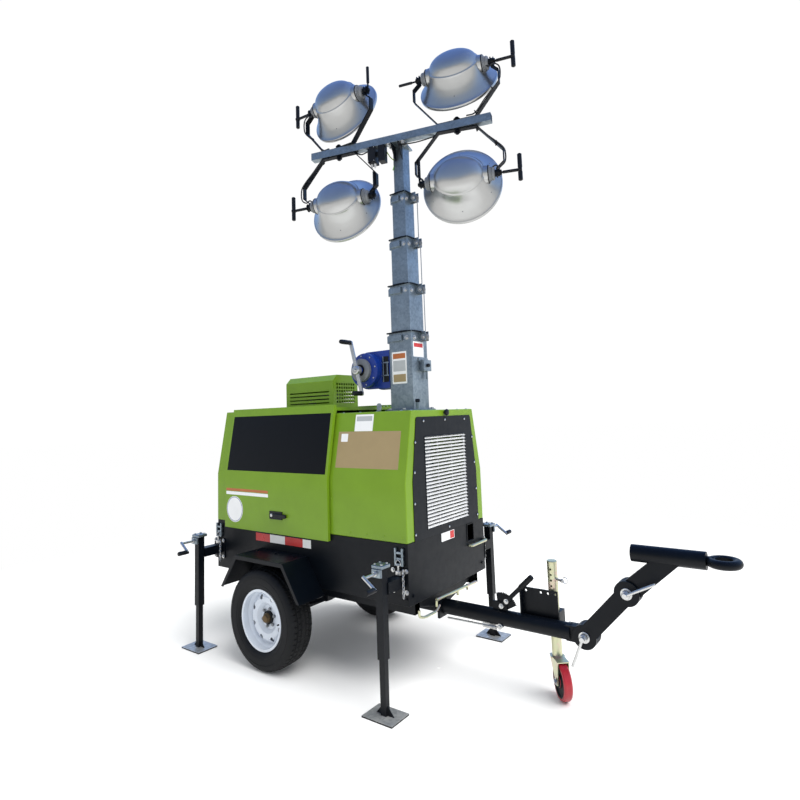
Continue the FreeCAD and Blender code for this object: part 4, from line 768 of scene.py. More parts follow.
class CanopyFinish(bpy.types.Operator):
    """Lime canopy and doors with rounded sheet edges, rubber seals, hinge screws and latches"""

    bl_idname = "tower.canopy"
    bl_label = "Canopy and doors"

    def execute(self, context):
        sizes = context.scene.tower_fasteners
        for node in ("canopy_rear", "canopy_front", "door_right", "door_left"):
            eased(node, "lime", 0.006)
        for name, side in SIDES:
            eased("door_latch_" + name, "plastic", 0.002)
            low, high = corner("door_" + name)
            self.seal(name, side, low[0] + 0.012, high[0] - 0.012)
            self.latch(name, side)
            self.hinge_screws(name, side, low[0], high[0] - low[0])
        low, high = corner("canopy_rear")
        half, foot, roof = FRONT_HALF + 0.001, 0.86, FRONT_ROOF + 0.001
        seam = [(high[0], y, z) for y, z in ((-half, foot), (-half, CREASE), (-FRONT_TOP, roof),
                                             (FRONT_TOP, roof), (half, CREASE), (half, foot))]
        model_piece("canopy_seam", Shape().pipe(bent_path(seam, 0.008), 0.0025, 6), "rubber", "trailer")
        studs = Shape()
        rows = ((np.linspace(low[0] + 0.05, high[0] - 0.05, 7), 0.3069, REAR_ROOF),
                ((-0.44, -0.3, 0.02, 0.09), 0.325, FRONT_ROOF))
        for along, across, height in rows:
            for x in along:
                for y in (-across, across):
                    studs.screw((x, y, height), Z_AXIS, sizes.screw)
        model_piece("roof_screws", studs, "bright zinc", "trailer", smooth=50)
        lug = Shape().block((-0.16, -0.345, FRONT_ROOF), (-0.145, -0.305, FRONT_ROOF + 0.006))
        upright = place((-0.152, -0.322, FRONT_ROOF + 0.026), Y_AXIS, X_AXIS)
        lug.plate(box_outline(0.034, 0.05, 0.014), 0.006, upright, 0.001)
        model_piece("roof_lug", lug, "galvanised", "trailer")
        return {"FINISHED"}

    def seal(self, name, side, front, rear):
        """Rubber bead round the back of a door's edge, a circle carried along the edge."""
        y, bottom, radius = side * (DOOR_HALF - 0.021), 0.818, 0.0022
        seal = Shape().pipe(((front, y, bottom), (rear, y, bottom)), radius, 6)
        for x in (front, rear):
            upright = ((x, y, bottom), (x, y, CREASE), (x, side * (DOOR_TOP - 0.02), 1.612))
            seal.pipe(bent_path(upright, 0.01), radius, 6)
        model_piece("door_seal_" + name, seal, "rubber", "door_" + name)

    def latch(self, name, side):
        """Raised grip and lock barrel on the latch plate."""
        low, high = corner("door_latch_" + name)
        x, y, z = (low[0] + high[0]) / 2, side * (DOOR_HALF + 0.006), (low[2] + high[2]) / 2
        out = Y_AXIS * side
        grip = Shape().plate(
            box_outline(0.12, 0.024, 0.01), 0.012, place((x + 0.03, y, z), out, X_AXIS * -side), 0.003)
        model_piece("latch_grip_" + name, grip, "plastic", "door_" + name)
        at = np.array((low[0] + 0.026, y, z))
        barrel = Shape().rod(at - out * 0.001, at + out * 0.008, 0.011, 24, 0.0015)
        barrel.plate(box_outline(0.003, 0.012, 0.001), 0.0006, place(at + out * 0.008, out))
        model_piece("latch_barrel_" + name, barrel, "bright zinc", "door_" + name)

    def hinge_screws(self, name, side, start, length):
        """Two screws on each of the three hinge leaves."""
        screws = Shape()
        for share in (0.14, 0.5, 0.86):
            for step in (-0.016, 0.016):
                x = start + length * share + step
                screws.screw((x, side * 0.335, REAR_ROOF + 0.004), Z_AXIS, 0.0065)
        model_piece("hinge_screws_" + name, screws, "bright zinc", "trailer", smooth=50)


class SignFinish(bpy.types.Operator):
    """Blank signs, notices, stripes and reflectors stuck on the canopy, base and mast"""

    bl_idname = "tower.signs"
    bl_label = "Signs and stripes"

    def execute(self, context):
        for name, side in SIDES:
            self.rivets(name, side)
        self.side_signs(*SIDES[0])
        self.plates()
        return {"FINISHED"}

    def side_signs(self, name, side):
        """The seen side's blank sign, stripes, round badge, notices and reflective strip."""
        body = "door_" + name
        self.on_door(side, "sign_" + name, "black vinyl", (-1.47, -0.487), (1.206, 1.588), body)
        self.on_door(side, "stripe_orange_" + name, "orange", (-1.474, -1.02), (1.062, 1.08), body)
        self.on_door(side, "stripe_white_" + name, "cream", (-1.474, -1.02), (1.036, 1.058), body)
        where = wall(side, DOOR_HALF, DOOR_TOP, DOOR_ROOF, -1.378, 0.935)
        badge = Shape().plate(ring_outline(0.09, 48), 0.0006, where, lift=-0.0002)
        model_piece("badge_" + name, badge, "cream", body)
        rim = Shape().lathe(
            ((0.082, 0.0002), (0.082, 0.0008), (0.0855, 0.0008), (0.0855, 0.0002)), where, 40, closed=True)
        model_piece("badge_ring_" + name, rim, "blue", body)
        self.on_front(side, "label_" + name, "cream", (-0.302, -0.158), (1.468, 1.572))
        self.on_front(side, "label_bar_" + name, "grey label", (-0.292, -0.168), (1.53, 1.56), 0.0004)
        self.on_front(side, "notice_" + name, "tan", (-0.43, 0.058), (1.246, 1.47))
        self.on_front(side, "notice_head_" + name, "cream", (-0.405, -0.35), (1.405, 1.455), 0.0004)
        self.reflectors(name, side)

    def on_door(self, side, name, finish, across, up, body):
        """A decal between two places along and two heights on a door, as long as the lean makes it."""
        x, z = sum(across) / 2, sum(up) / 2
        lean = math.hypot(DOOR_ROOF - CREASE, DOOR_HALF - DOOR_TOP) / (DOOR_ROOF - CREASE)
        height = (up[1] - up[0]) * (lean if z > CREASE else 1.0)
        matrix = wall(side, DOOR_HALF, DOOR_TOP, DOOR_ROOF, x, z)
        model_piece(name, decal(matrix, across[1] - across[0], height, 0.004), finish, body)

    def on_front(self, side, name, finish, across, up, lift=0.0):
        """A decal on the front canopy's leaning side."""
        x, z = sum(across) / 2, sum(up) / 2
        matrix = wall(side, FRONT_HALF, FRONT_TOP, FRONT_ROOF, x, z, lift)
        model_piece(name, decal(matrix, across[1] - across[0], up[1] - up[0], 0.003), finish, "trailer")

    def reflectors(self, name, side):
        """Reflective strip on the base, red and white by turns."""
        edges = (-1.178, -1.032, -0.884, -0.716, -0.642)
        for index, (start, end) in enumerate(zip(edges[:-1], edges[1:])):
            matrix = place(((start + end) / 2, side * BASE_HALF, 0.761), Y_AXIS * side, X_AXIS * -side)
            strip = decal(matrix, end - start, 0.052, 0.001)
            finish = ("red vinyl", "cream")[index % 2]
            model_piece("reflector_strip_%s_%d" % (name, index), strip, finish, "trailer")

    def rivets(self, name, side):
        """Rivets along the front canopy's lower edge and up its rear one."""
        rivets = Shape()
        for x, z in [(x, 0.872) for x in np.linspace(-0.43, 0.08, 5)] + [(-0.455, 0.95), (-0.455, 1.06)]:
            rivets.screw((x, side * FRONT_HALF, z), Y_AXIS * side, 0.006)
        model_piece("canopy_rivets_" + name, rivets, "lime", "trailer", smooth=50)

    def plates(self):
        """Blank plates on the mast's foot and small labels on the front, by place and size."""
        to_side, to_front = (-Y_AXIS, X_AXIS), (X_AXIS, Y_AXIS)
        rows = (
            ("mast_label_side", (-0.155, -0.09, 1.868), to_side, (0.118, 0.21, 0.004), "cream", "mast"),
            ("mast_label_strip_0", (-0.155, -0.0905, 1.945), to_side, (0.1, 0.034, 0.002), "orange", "mast"),
            ("mast_label_strip_1", (-0.155, -0.0905, 1.88), to_side, (0.1, 0.07, 0.002), "grey label",
             "mast"),
            ("mast_label_strip_2", (-0.155, -0.0905, 1.8), to_side, (0.1, 0.05, 0.002), "tan", "mast"),
            ("mast_label_front", (-0.053, -0.012, 1.985), to_front, (0.12, 0.1, 0.004), "cream", "mast"),
            ("mast_label_band", (-0.0525, -0.012, 2.012), to_front, (0.1, 0.026, 0.002), "red vinyl", "mast"),
            ("front_label", (BASE_FRONT, -0.015, 0.81), to_front, (0.15, 0.05, 0.002), "cream", "trailer"),
            ("front_label_edge", (BASE_FRONT + 0.0005, 0.032, 0.81), to_front, (0.046, 0.044, 0.002),
             "red vinyl", "trailer"))
        for name, at, turned, size, finish, body in rows:
            model_piece(name, decal(place(at, *turned), *size), finish, body)


class FrontFinish(bpy.types.Operator):
    """Front panel, its bright louvres, screws with washers, and knob"""

    bl_idname = "tower.front"
    bl_label = "Front panel and louvres"

    def execute(self, context):
        radius = context.scene.tower_fasteners.screw
        eased("front_panel", "panel", 0.0015)
        coat("grille", "slats")
        lip = [(PANEL_FACE, y, z) for y, z in ((-0.24, 0.885), (0.24, 0.885), (0.24, 1.428), (-0.24, 1.428))]
        model_piece("louvre_frame", Shape().pipe(bent_loop(lip, 0.006), 0.003, 8), "panel", "trailer")
        spots = (
            (-0.335, 1.398), (-0.352, 1.227), (-0.36, 1.051), (-0.242, 1.52), (0.0, 1.522), (0.242, 1.52),
            (0.335, 1.398), (0.352, 1.227), (0.36, 1.051), (-0.362, 0.878), (0.362, 0.878), (0.0, 0.862))
        screws, washers = Shape(), Shape()
        for y, z in spots:
            at = (PANEL_FACE, y, z)
            screws.screw(at, X_AXIS, radius)
            washers.plate(ring_outline(radius * 1.55, 20), 0.0012, place(at, X_AXIS), 0.0004)
        model_piece("panel_screws", screws, "bright zinc", "trailer", smooth=50)
        model_piece("panel_washers", washers, "rubber", "trailer")
        knob = Shape().lathe(
            ((0.0003, 0.03), (0.012, 0.03), (0.019, 0.026), (0.021, 0.018), (0.018, 0.011), (0.009, 0.009),
             (0.009, 0.0)), place((BASE_FRONT, 0.0, 1.567), X_AXIS), 32)
        model_piece("panel_knob", knob, "plastic", "trailer")
        stays = Shape()
        low, high = corner("grille")
        for y in (-0.08, 0.08):
            stays.block((low[0] + 0.001, y - 0.0015, low[2] + 0.006),
                        (BASE_FRONT - 0.006, y + 0.0015, high[2] - 0.006), 0.0004)
        model_piece("louvre_stays", stays, "slats", "trailer")
        return {"FINISHED"}


class GuardFinish(bpy.types.Operator):
    """Exhaust guard, the silencer outlet inside it and its feet"""

    bl_idname = "tower.guard"
    bl_label = "Exhaust guard"

    def execute(self, context):
        eased("exhaust_guard", "lime", 0.0022)
        low, high = corner("exhaust_guard")
        x, y = (low[:2] + high[:2]) / 2
        rise = low[2] + 0.095
        bend = bent_path(((x - 0.1, y, low[2]), (x - 0.1, y, rise), (high[0] - 0.06, y, rise)), 0.06, 10)
        model_piece("exhaust_outlet", Shape().pipe(bend, 0.028, 24), "engine", "trailer")
        feet = Shape()
        for step in np.linspace(low[0] + 0.05, high[0] - 0.05, 4):
            for edge in (low[1] - 0.012, high[1] + 0.012):
                feet.screw((step, edge, low[2] + 0.004), Z_AXIS, 0.007)
        for edge, out in ((low[1], -0.024), (high[1], 0.024)):
            feet.block((low[0] + 0.02, edge, low[2]), (high[0] - 0.02, edge + out, low[2] + 0.004),
                       0.0008, 0.003)
        model_piece("guard_feet", feet, "lime", "trailer")
        return {"FINISHED"}


class BaseFinish(bpy.types.Operator):
    """Black base, springs, axle, mudguards, engine and everything bolted under the front"""

    bl_idname = "tower.base"
    bl_label = "Base and running gear"

    def execute(self, context):
        for node, finish, width in (
                ("base_frame", "black", 0.0028), ("fender_right", "black", 0.0015),
                ("fender_left", "black", 0.0015), ("leaf_springs", "black", 0.0015), ("axle", "black", 0.003),
                ("engine_block", "engine", 0.02), ("generator_block", "engine", 0.02)):
            eased(node, finish, width)
        self.fender_bolts()
        self.spring_bolts()
        self.front_bars()
        self.base_bolts()
        return {"FINISHED"}

    def fender_bolts(self):
        """Bolts that hold each mudguard to the base."""
        bolts = Shape()
        for _, side in SIDES:
            for x in (-1.08, AXLE_X, -0.73):
                bolts.bolt((x, side * (BASE_HALF + 0.06), 0.6862), Z_AXIS, 0.014, 0.006)
        model_piece("fender_bolts", bolts, "black", "trailer")

    def spring_bolts(self):
        """U-bolts over the springs, each a bent rod."""
        clips = Shape()
        half, top, bottom = 0.031, 0.375, 0.268
        for _, side in SIDES:
            for x in (AXLE_X - 0.038, AXLE_X + 0.038):
                y0, y1 = side * 0.34 - half, side * 0.34 + half
                path = ((x, y0, top), (x, y0, bottom), (x, y1, bottom), (x, y1, top))
                clips.pipe(bent_path(path, 0.02), 0.006)
        model_piece("spring_bolts", clips, "bright zinc", "trailer")

    def front_bars(self):
        """Zinc bars, stays, hook and rail at the base's front edge, and the slot's rubber lining."""
        bars = Shape()
        x = BASE_FRONT + 0.012
        bars.pipe(((x, -0.19, 0.478), (x, 0.05, 0.47), (x, 0.28, 0.462)), 0.009, 12)
        for y in (-0.19, 0.05, 0.17):
            bars.rod((x, y, 0.476), (x, y, 0.44), 0.0075)
        hook = ((x, -0.37, 0.47), (x, -0.37, 0.435), (x, -0.32, 0.418), (x, -0.2, 0.415), (x, -0.16, 0.44))
        bars.pipe(bent_path(hook, 0.03), 0.0075, 12)
        model_piece("front_bars", bars, "yellow zinc", "trailer")
        rail = ((x - 0.01, 0.235, 0.7), (x + 0.012, 0.24, 0.7), (x + 0.012, 0.43, 0.7),
                (x - 0.01, 0.436, 0.7))
        model_piece("front_rail", Shape().pipe(bent_path(rail, 0.02), 0.009, 12), "yellow zinc", "trailer")
        outline = box_outline(0.09, 0.115, 0.008)
        matrix = place((BASE_FRONT, 0.2575, 0.78), X_AXIS, Y_AXIS)
        lining = Shape().framed(outline, inset(outline, 0.006), 0.0, 0.004, matrix)
        model_piece("slot_lining", lining, "rubber", "trailer")

    def base_bolts(self):
        """Bolts at the base's front corners."""
        bolts = Shape()
        for _, side in SIDES:
            for z in (0.545, 0.585):
                bolts.bolt((0.098, side * BASE_HALF, z), Y_AXIS * side, 0.013, 0.006)
        for y in (-0.4, 0.4):
            bolts.bolt((BASE_FRONT, y, 0.555), X_AXIS, 0.015, 0.006)
        model_piece("base_bolts", bolts, "black", "trailer")


class WheelFinish(bpy.types.Operator):
    """Road wheels: tread cut into the tyre by angle, painted rims, wheel nuts, cap and valve"""

    bl_idname = "tower.wheels"
    bl_label = "Road wheels"

    def execute(self, context):
        sizes = context.scene.tower_tyres
        for name, side in SIDES:
            centre = joint_frame("wheel_%s_spin" % name)[0]
            matrix = place(centre, Y_AXIS * side, X_AXIS)
            self.tyre(name, matrix, sizes)
            coat("rim_" + name, "rim")
            self.nuts(name, matrix)
        return {"FINISHED"}

    def tyre(self, name, matrix, sizes):
        """Lathed section whose radius drops where the pitch wave or a rib groove cuts it."""
        section = np.array((
            (0.1785, -0.0705), (0.1882, -0.0712), (0.2, -0.084), (0.214, -0.0895), (0.232, -0.0922),
            (0.25, -0.0925), (0.268, -0.0915), (0.2795, -0.0885), (0.29, -0.084), (0.2985, -0.0765),
            (0.3035, -0.069)))
        shoulder = section[:, 0], section[:, 1]
        across = np.linspace(-0.066, 0.066, 37)
        crown = 0.3075 - 0.0035 * (across / 0.066) ** 2
        inner = np.array(((0.1785, 0.0705), (0.176, 0.05), (0.176, -0.05)))
        radii = np.concatenate((shoulder[0], crown, shoulder[0][::-1], inner[:, 0]))
        widths = np.concatenate((shoulder[1], across, -shoulder[1][::-1], inner[:, 1]))
        parts, near_rib, far_rib, rib_half = 6, 0.018, 0.045, 0.003
        count = sizes.pitches * parts
        angle = np.arange(count) * TAU / count
        radius = np.repeat(radii[:, None], count, 1)
        start = len(shoulder[0])
        phase = np.arange(count) % parts
        for row, place_across in enumerate(across):
            edge = abs(place_across)
            line = start + row
            if min(abs(edge - near_rib), abs(edge - far_rib)) < rib_half:
                radius[line] -= sizes.groove
            else:
                shift, bite = (0, 0.35) if edge < near_rib else ((2, 0.6) if edge < far_rib else (4, 0.9))
                if place_across < 0:
                    shift += parts // 2
                radius[line, (phase + shift) % parts == 0] -= sizes.groove * bite
        lug = phase == 2
        for row in (start - 1, start - 2, start + len(across), start + len(across) + 1):
            radius[row, lug] -= sizes.groove * 0.5
        points = np.stack((
            radius * np.cos(angle), radius * np.sin(angle), np.repeat(widths[:, None], count, 1)), -1)
        run = np.repeat(np.arange(len(radii)) / len(radii), count)
        shape = Shape().grid(carried(points, matrix), wrap_rows=True, wrap_columns=True, along=run)
        model_piece("tyre_tread_" + name, shape, "tyre", "wheel_" + name, ("tyre_" + name,),
                    smooth=28)
        rings = Shape()
        for sign in (-1, 1):
            for ring_radius, width in ((0.222, 0.0012), (0.262, 0.0016)):
                depth = np.interp(ring_radius, section[:, 0], -section[:, 1]) * sign
                path = circle(Z_AXIS * depth, X_AXIS, Y_AXIS, ring_radius, 96)
                rings.pipe(carried(path, matrix), width, 6, closed=True)
        model_piece("tyre_ribs_" + name, rings, "tyre", "wheel_" + name)

    def nuts(self, name, matrix):
        """Six wheel nuts on their circle, hub cap with its ring, and the valve."""
        body = "wheel_" + name
        nuts = Shape()
        for x, y in around(6, 0.3, 0.055):
            nuts.bolt(carried(np.array((x, y, 0.006)), matrix), matrix[:3, 2], 0.017, 0.012, washer=False)
        model_piece("wheel_nuts_" + name, nuts, "cast", body)
        cap = Shape().lathe(
            ((0.0003, 0.0482), (0.014, 0.0478), (0.0222, 0.0452), (0.0268, 0.037), (0.0308, 0.0302),
             (0.0308, 0.0142)), matrix, 40)
        model_piece("hub_cap_" + name, cap, "bronze", body)
        ring = Shape().lathe(
            ((0.0308, 0.0218), (0.0385, 0.0218), (0.0408, 0.0205), (0.0412, 0.0055)), matrix, 40)
        model_piece("hub_ring_" + name, ring, "rubber", body)
        ends = carried(np.array(((0.163, 0.0, 0.045), (0.155, 0.0, 0.078))), matrix)
        model_piece("valve_" + name, Shape().rod(ends[0], ends[1], 0.0045, 10), "rubber", body)


class MastFinish(bpy.types.Operator):
    """Galvanised mast: rounded tubes, pads, pulleys and bolts of its collars, ropes and gussets"""

    bl_idname = "tower.mast"
    bl_label = "Telescopic mast"

    def execute(self, context):
        self.collars = (("mast", 2.105, 0.18), ("mast_stage_1", 2.425, 0.155), ("mast_stage_2", 2.745, 0.13),
                        ("mast_stage_3", 3.065, 0.105))
        for node in ("mast_base", "mast_stage_1", "mast_stage_2", "mast_stage_3", "mast_stage_4"):
            eased(node, "galvanised", 0.0035)
        for body, top, outside in self.collars:
            self.pads(body, top, outside)
            self.pulley(body, top, outside)
            self.collar_bolts(body, top, outside)
        self.foot()
        self.head()
        self.front_fittings()
        self.ropes()
        return {"FINISHED"}

    def front_fittings(self):
        """Grey housings and pull pin below the first collar's pulley, and a bracket at each collar."""
        face = MAST_X + 0.09
        boxes = Shape()
        boxes.block(np.array((face, -0.005, 1.842)), np.array((face + 0.036, 0.082, 1.915)), 0.001, 0.004)
        boxes.block(np.array((face, -0.02, 1.905)), np.array((face + 0.006, 0.088, 1.93)), 0.0008, 0.002)
        boxes.rod((face + 0.018, 0.05, 1.79), (face + 0.018, 0.05, 1.845), 0.007, 12)
        model_piece("mast_front_box", boxes, "galvanised", "mast")
        knob = Shape().rod((face + 0.034, 0.034, 1.878), (face + 0.052, 0.034, 1.878), 0.012, 20, 0.002)
        model_piece("mast_front_knob", knob, "plastic", "mast")
        for body, top, outside in self.collars:
            half = outside / 2
            bracket = Shape()
            low = np.array((MAST_X - half - 0.0005, -half - 0.0165, top - 0.062))
            bracket.block(low, low + np.array((outside * 0.62, 0.0165, 0.04)), 0.001, 0.003)
            low = np.array((MAST_X - half - 0.0165, -half, top - 0.07))
            bracket.block(low, low + np.array((0.0165, outside * 0.5, 0.046)), 0.001, 0.003)
            model_piece(body + "_bracket", bracket, "galvanised", body)

    def ropes(self):
        """Wire rope from each collar's sheave down to the collar below, which slides under it."""
        pairs = zip(self.collars[:-1], self.collars[1:])
        for (below, low_top, _), (above, high_top, high_outside) in pairs:
            x = MAST_X + high_outside / 2 + 0.047
            start = np.array((x, 0.029, low_top + 0.004))
            end = np.array((x, 0.029, high_top - 0.04))
            path = start + (end - start) * np.linspace(0, 1, 9)[:, None]
            rope = model_piece(above + "_rope", Shape().pipe(path, 0.003, 8), "rope", None)
            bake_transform(rope)

    def pads(self, body, top, outside):
        """Black guide pads on the four sides and a dark edge round each collar plate."""
        pads = Shape()
        lip = outside / 2 + 0.012
        inner = outside / 2 - 0.0125
        for across, up in around(4, 0.0):
            out, along = np.array((across, up, 0.0)), np.array((-up, across, 0.0))
            matrix = place(np.array((MAST_X, 0.0, top)) + out * (inner + lip) / 2, Z_AXIS, along)
            pads.plate(box_outline(outside * 0.6, (lip - inner) * 0.7, 0.003), 0.005, matrix, 0.001)
        model_piece(body + "_pads", pads, "plastic", body)
        reach = lip - 0.001
        loop = [(MAST_X + sx * reach, sy * reach, top - 0.004)
                for sx, sy in ((1, 1), (-1, 1), (-1, -1), (1, -1))]
        strip = np.array(((-0.002, -0.004), (0.002, -0.004), (0.002, 0.004), (-0.002, 0.004)))
        model_piece(body + "_edge", Shape().section(bent_loop(loop, 0.006), strip), "black", body)

    def pulley(self, body, top, outside):
        """Grooved sheave between the ears: a V profile turned round its pin, and its nuts."""
        centre = np.array((MAST_X + outside / 2 + 0.026, 0.0, top - 0.036))
        sheave = Shape().lathe(
            ((0.0055, 0.0), (0.0265, 0.0), (0.021, 0.010), (0.0185, 0.014), (0.021, 0.018), (0.0265, 0.028),
             (0.0055, 0.028)), place(centre + Y_AXIS * 0.0148, Y_AXIS), 32, closed=True)
        model_piece(body + "_sheave", sheave, "cast", body)
        bolt = Shape()
        for reach, way in ((0.05, 1), (0.008, -1)):
            bolt.bolt(centre + Y_AXIS * reach, Y_AXIS * way, 0.019, 0.008)
        model_piece(body + "_sheave_bolt", bolt, "bright zinc", body)

    def collar_bolts(self, body, top, outside):
        """Adjusting bolts of the guide pads on the two seen sides and their opposites."""
        bolts = Shape()
        half, z, size = outside / 2, top - 0.045, (0.017, 0.008)
        for step in (-0.3, 0.3):
            for side in (-1, 1):
                bolts.bolt((MAST_X + outside * step, side * half, z), Y_AXIS * side, *size)
            bolts.bolt((MAST_X - half, outside * step, z), -X_AXIS, *size)
        bolts.bolt((MAST_X + half, -outside * 0.3, z), X_AXIS, *size)
        model_piece(body + "_bolts", bolts, "bright zinc", body)

    def foot(self):
        """Bolts on the turning plate, but none under the lock pin, and the pin's black knob."""
        pin_x, pin_y = 0.118, -0.084
        bolts = Shape()
        for x, y in around(8, 0.35, 0.148):
            if math.hypot(x - pin_x, y - pin_y) > 0.03:
                bolts.bolt((MAST_X + x, y, FRONT_ROOF + 0.0083), Z_AXIS, 0.019, 0.009)
        model_piece("turning_plate_bolts", bolts, "bright zinc", "mast")
        knob = Shape().lathe(
            ((0.0003, 0.022), (0.012, 0.022), (0.0155, 0.017), (0.0155, 0.006), (0.011, 0.0)),
            place((MAST_X + pin_x, pin_y, FRONT_ROOF + 0.052)), 24)
        model_piece("lock_pin_knob", knob, "plastic", "mast")

    def head(self):
        """Black gussets and clamp bolts where the head carries the light bar."""
        head, bolts = Shape(), Shape()
        centre = np.array((MAST_X, 0.0, 3.394))
        outline = np.array(((0.0, 0.0), (0.0, -0.1), (0.012, -0.1), (0.088, -0.012), (0.088, 0.0)))
        matrix = np.eye(4)
        matrix[:3, 0] = -HEAD_BACK
        matrix[:3, 1] = Z_AXIS
        matrix[:3, 2] = np.cross(-HEAD_BACK, Z_AXIS)
        for sign in (-1, 1):
            matrix[:3, 3] = centre + HEAD_ALONG * sign * 0.026 - HEAD_BACK * 0.038 - matrix[:3, 2] * 0.003
            head.plate(outline, 0.006, matrix, 0.001)
            for back in (0.1, 0.055):
                bolts.bolt(centre + HEAD_ALONG * sign * 0.05 - HEAD_BACK * back, -Z_AXIS, 0.019, 0.01)
        model_piece("head_gussets", head, "black", "mast_head")
        model_piece("head_bolts", bolts, "bright zinc", "mast_head")


class WinchFinish(bpy.types.Operator):
    """Blue winch: cover bolts round its rim, wound rope, brake disc, bars over a black sheet of painted
    shade, and crank
    """

    bl_idname = "tower.winch"
    bl_label = "Mast winch"

    def execute(self, context):
        eased("winch", "blue", 0.003)
        centre = np.array((-0.42, 0.0, 1.868))
        rope = Shape().coil(centre - Y_AXIS * 0.072, Y_AXIS, X_AXIS, Z_AXIS, 0.144, 0.0655, 17, 0.004, 24)
        model_piece("winch_rope", rope, "rope", "mast")
        bolts = Shape()
        for x, z in around(8, 0.2, 0.1):
            bolts.bolt(centre + np.array((x, -0.136, z)), -Y_AXIS, 0.009, 0.004, washer=False)
        for x, z in around(4, 0.6, 0.095):
            bolts.bolt(centre + np.array((x, 0.084, z)), Y_AXIS, 0.016, 0.008)
        model_piece("winch_bolts", bolts, "bright zinc", "mast")
        disc = place((-0.434, -0.15, centre[2]), -Y_AXIS)
        cap = Shape().lathe(
            ((0.04, 0.006), (0.04, 0.0125), (0.07, 0.0125), (0.0775, 0.0095), (0.0793, 0.003),
             (0.0793, -0.0155)), disc, 64)
        model_piece("winch_brake_cap", cap, "cast", "mast")
        well = Shape().lathe(
            ((0.0003, 0.009), (0.026, 0.009), (0.0305, 0.0135), (0.0395, 0.0135), (0.04, 0.004)), disc, 48)
        model_piece("winch_brake_centre", well, "rubber", "mast")
        # Black rubber sheet laid proud of the side plate behind the bars: painted shade standing in for the
        # hollow there
        shade_sheet = Shape().block((-0.302, -0.0868, 1.782), (-0.246, -0.0838, 1.954), 0.001, 0.003)
        model_piece("winch_recess_painted_shade", shade_sheet, "rubber", "mast")
        bars = Shape()
        for x, z, wide, high in ((-0.274, 1.826, 0.062, 0.008), (-0.274, 1.912, 0.062, 0.008),
                                 (-0.258, 1.869, 0.009, 0.08), (-0.292, 1.869, 0.007, 0.172)):
            bars.block((x - wide / 2, -0.0892, z - high / 2), (x + wide / 2, -0.0866, z + high / 2),
                       0.0006, 0.002)
        model_piece("winch_bars", bars, "galvanised", "mast")
        self.crank()
        return {"FINISHED"}

    def crank(self):
        """Flat two-ended crank leaning back, a long and a short grip on it, and its turned hub."""
        hub = np.array((-0.434, -0.188, 1.868))
        lean = math.radians(14)
        up = np.array((-math.sin(lean), 0.0, math.cos(lean)))
        arm = Shape().plate(
            box_outline(0.388, 0.028, 0.0135), 0.011, place(hub + up * 0.0165, -Y_AXIS, up), 0.0012)
        model_piece("winch_crank_arm", arm, "bright zinc", "mast", ("winch_crank",))
        centre = Shape().lathe(
            ((0.0003, 0.026), (0.021, 0.026), (0.0265, 0.0235), (0.0295, 0.018), (0.0295, -0.012),
             (0.02, -0.013)), place(hub, -Y_AXIS), 40)
        centre.bolt(hub - Y_AXIS * 0.026, -Y_AXIS, 0.02, 0.008)
        model_piece("winch_crank_hub", centre, "bright zinc", "mast")
        grips = Shape()
        for reach, long in ((0.196, 0.11), (-0.162, 0.09)):
            grips.lathe(
                ((0.0003, 0.0105), (0.0135, 0.0105), (0.0162, 0.015), (0.0152, 0.3 * long),
                 (0.0162, 0.6 * long), (0.0152, 0.9 * long), (0.013, long - 0.001), (0.0003, long)),
                place(hub + up * reach, -Y_AXIS), 24)
        model_piece("winch_grips", grips, "plastic", "mast")


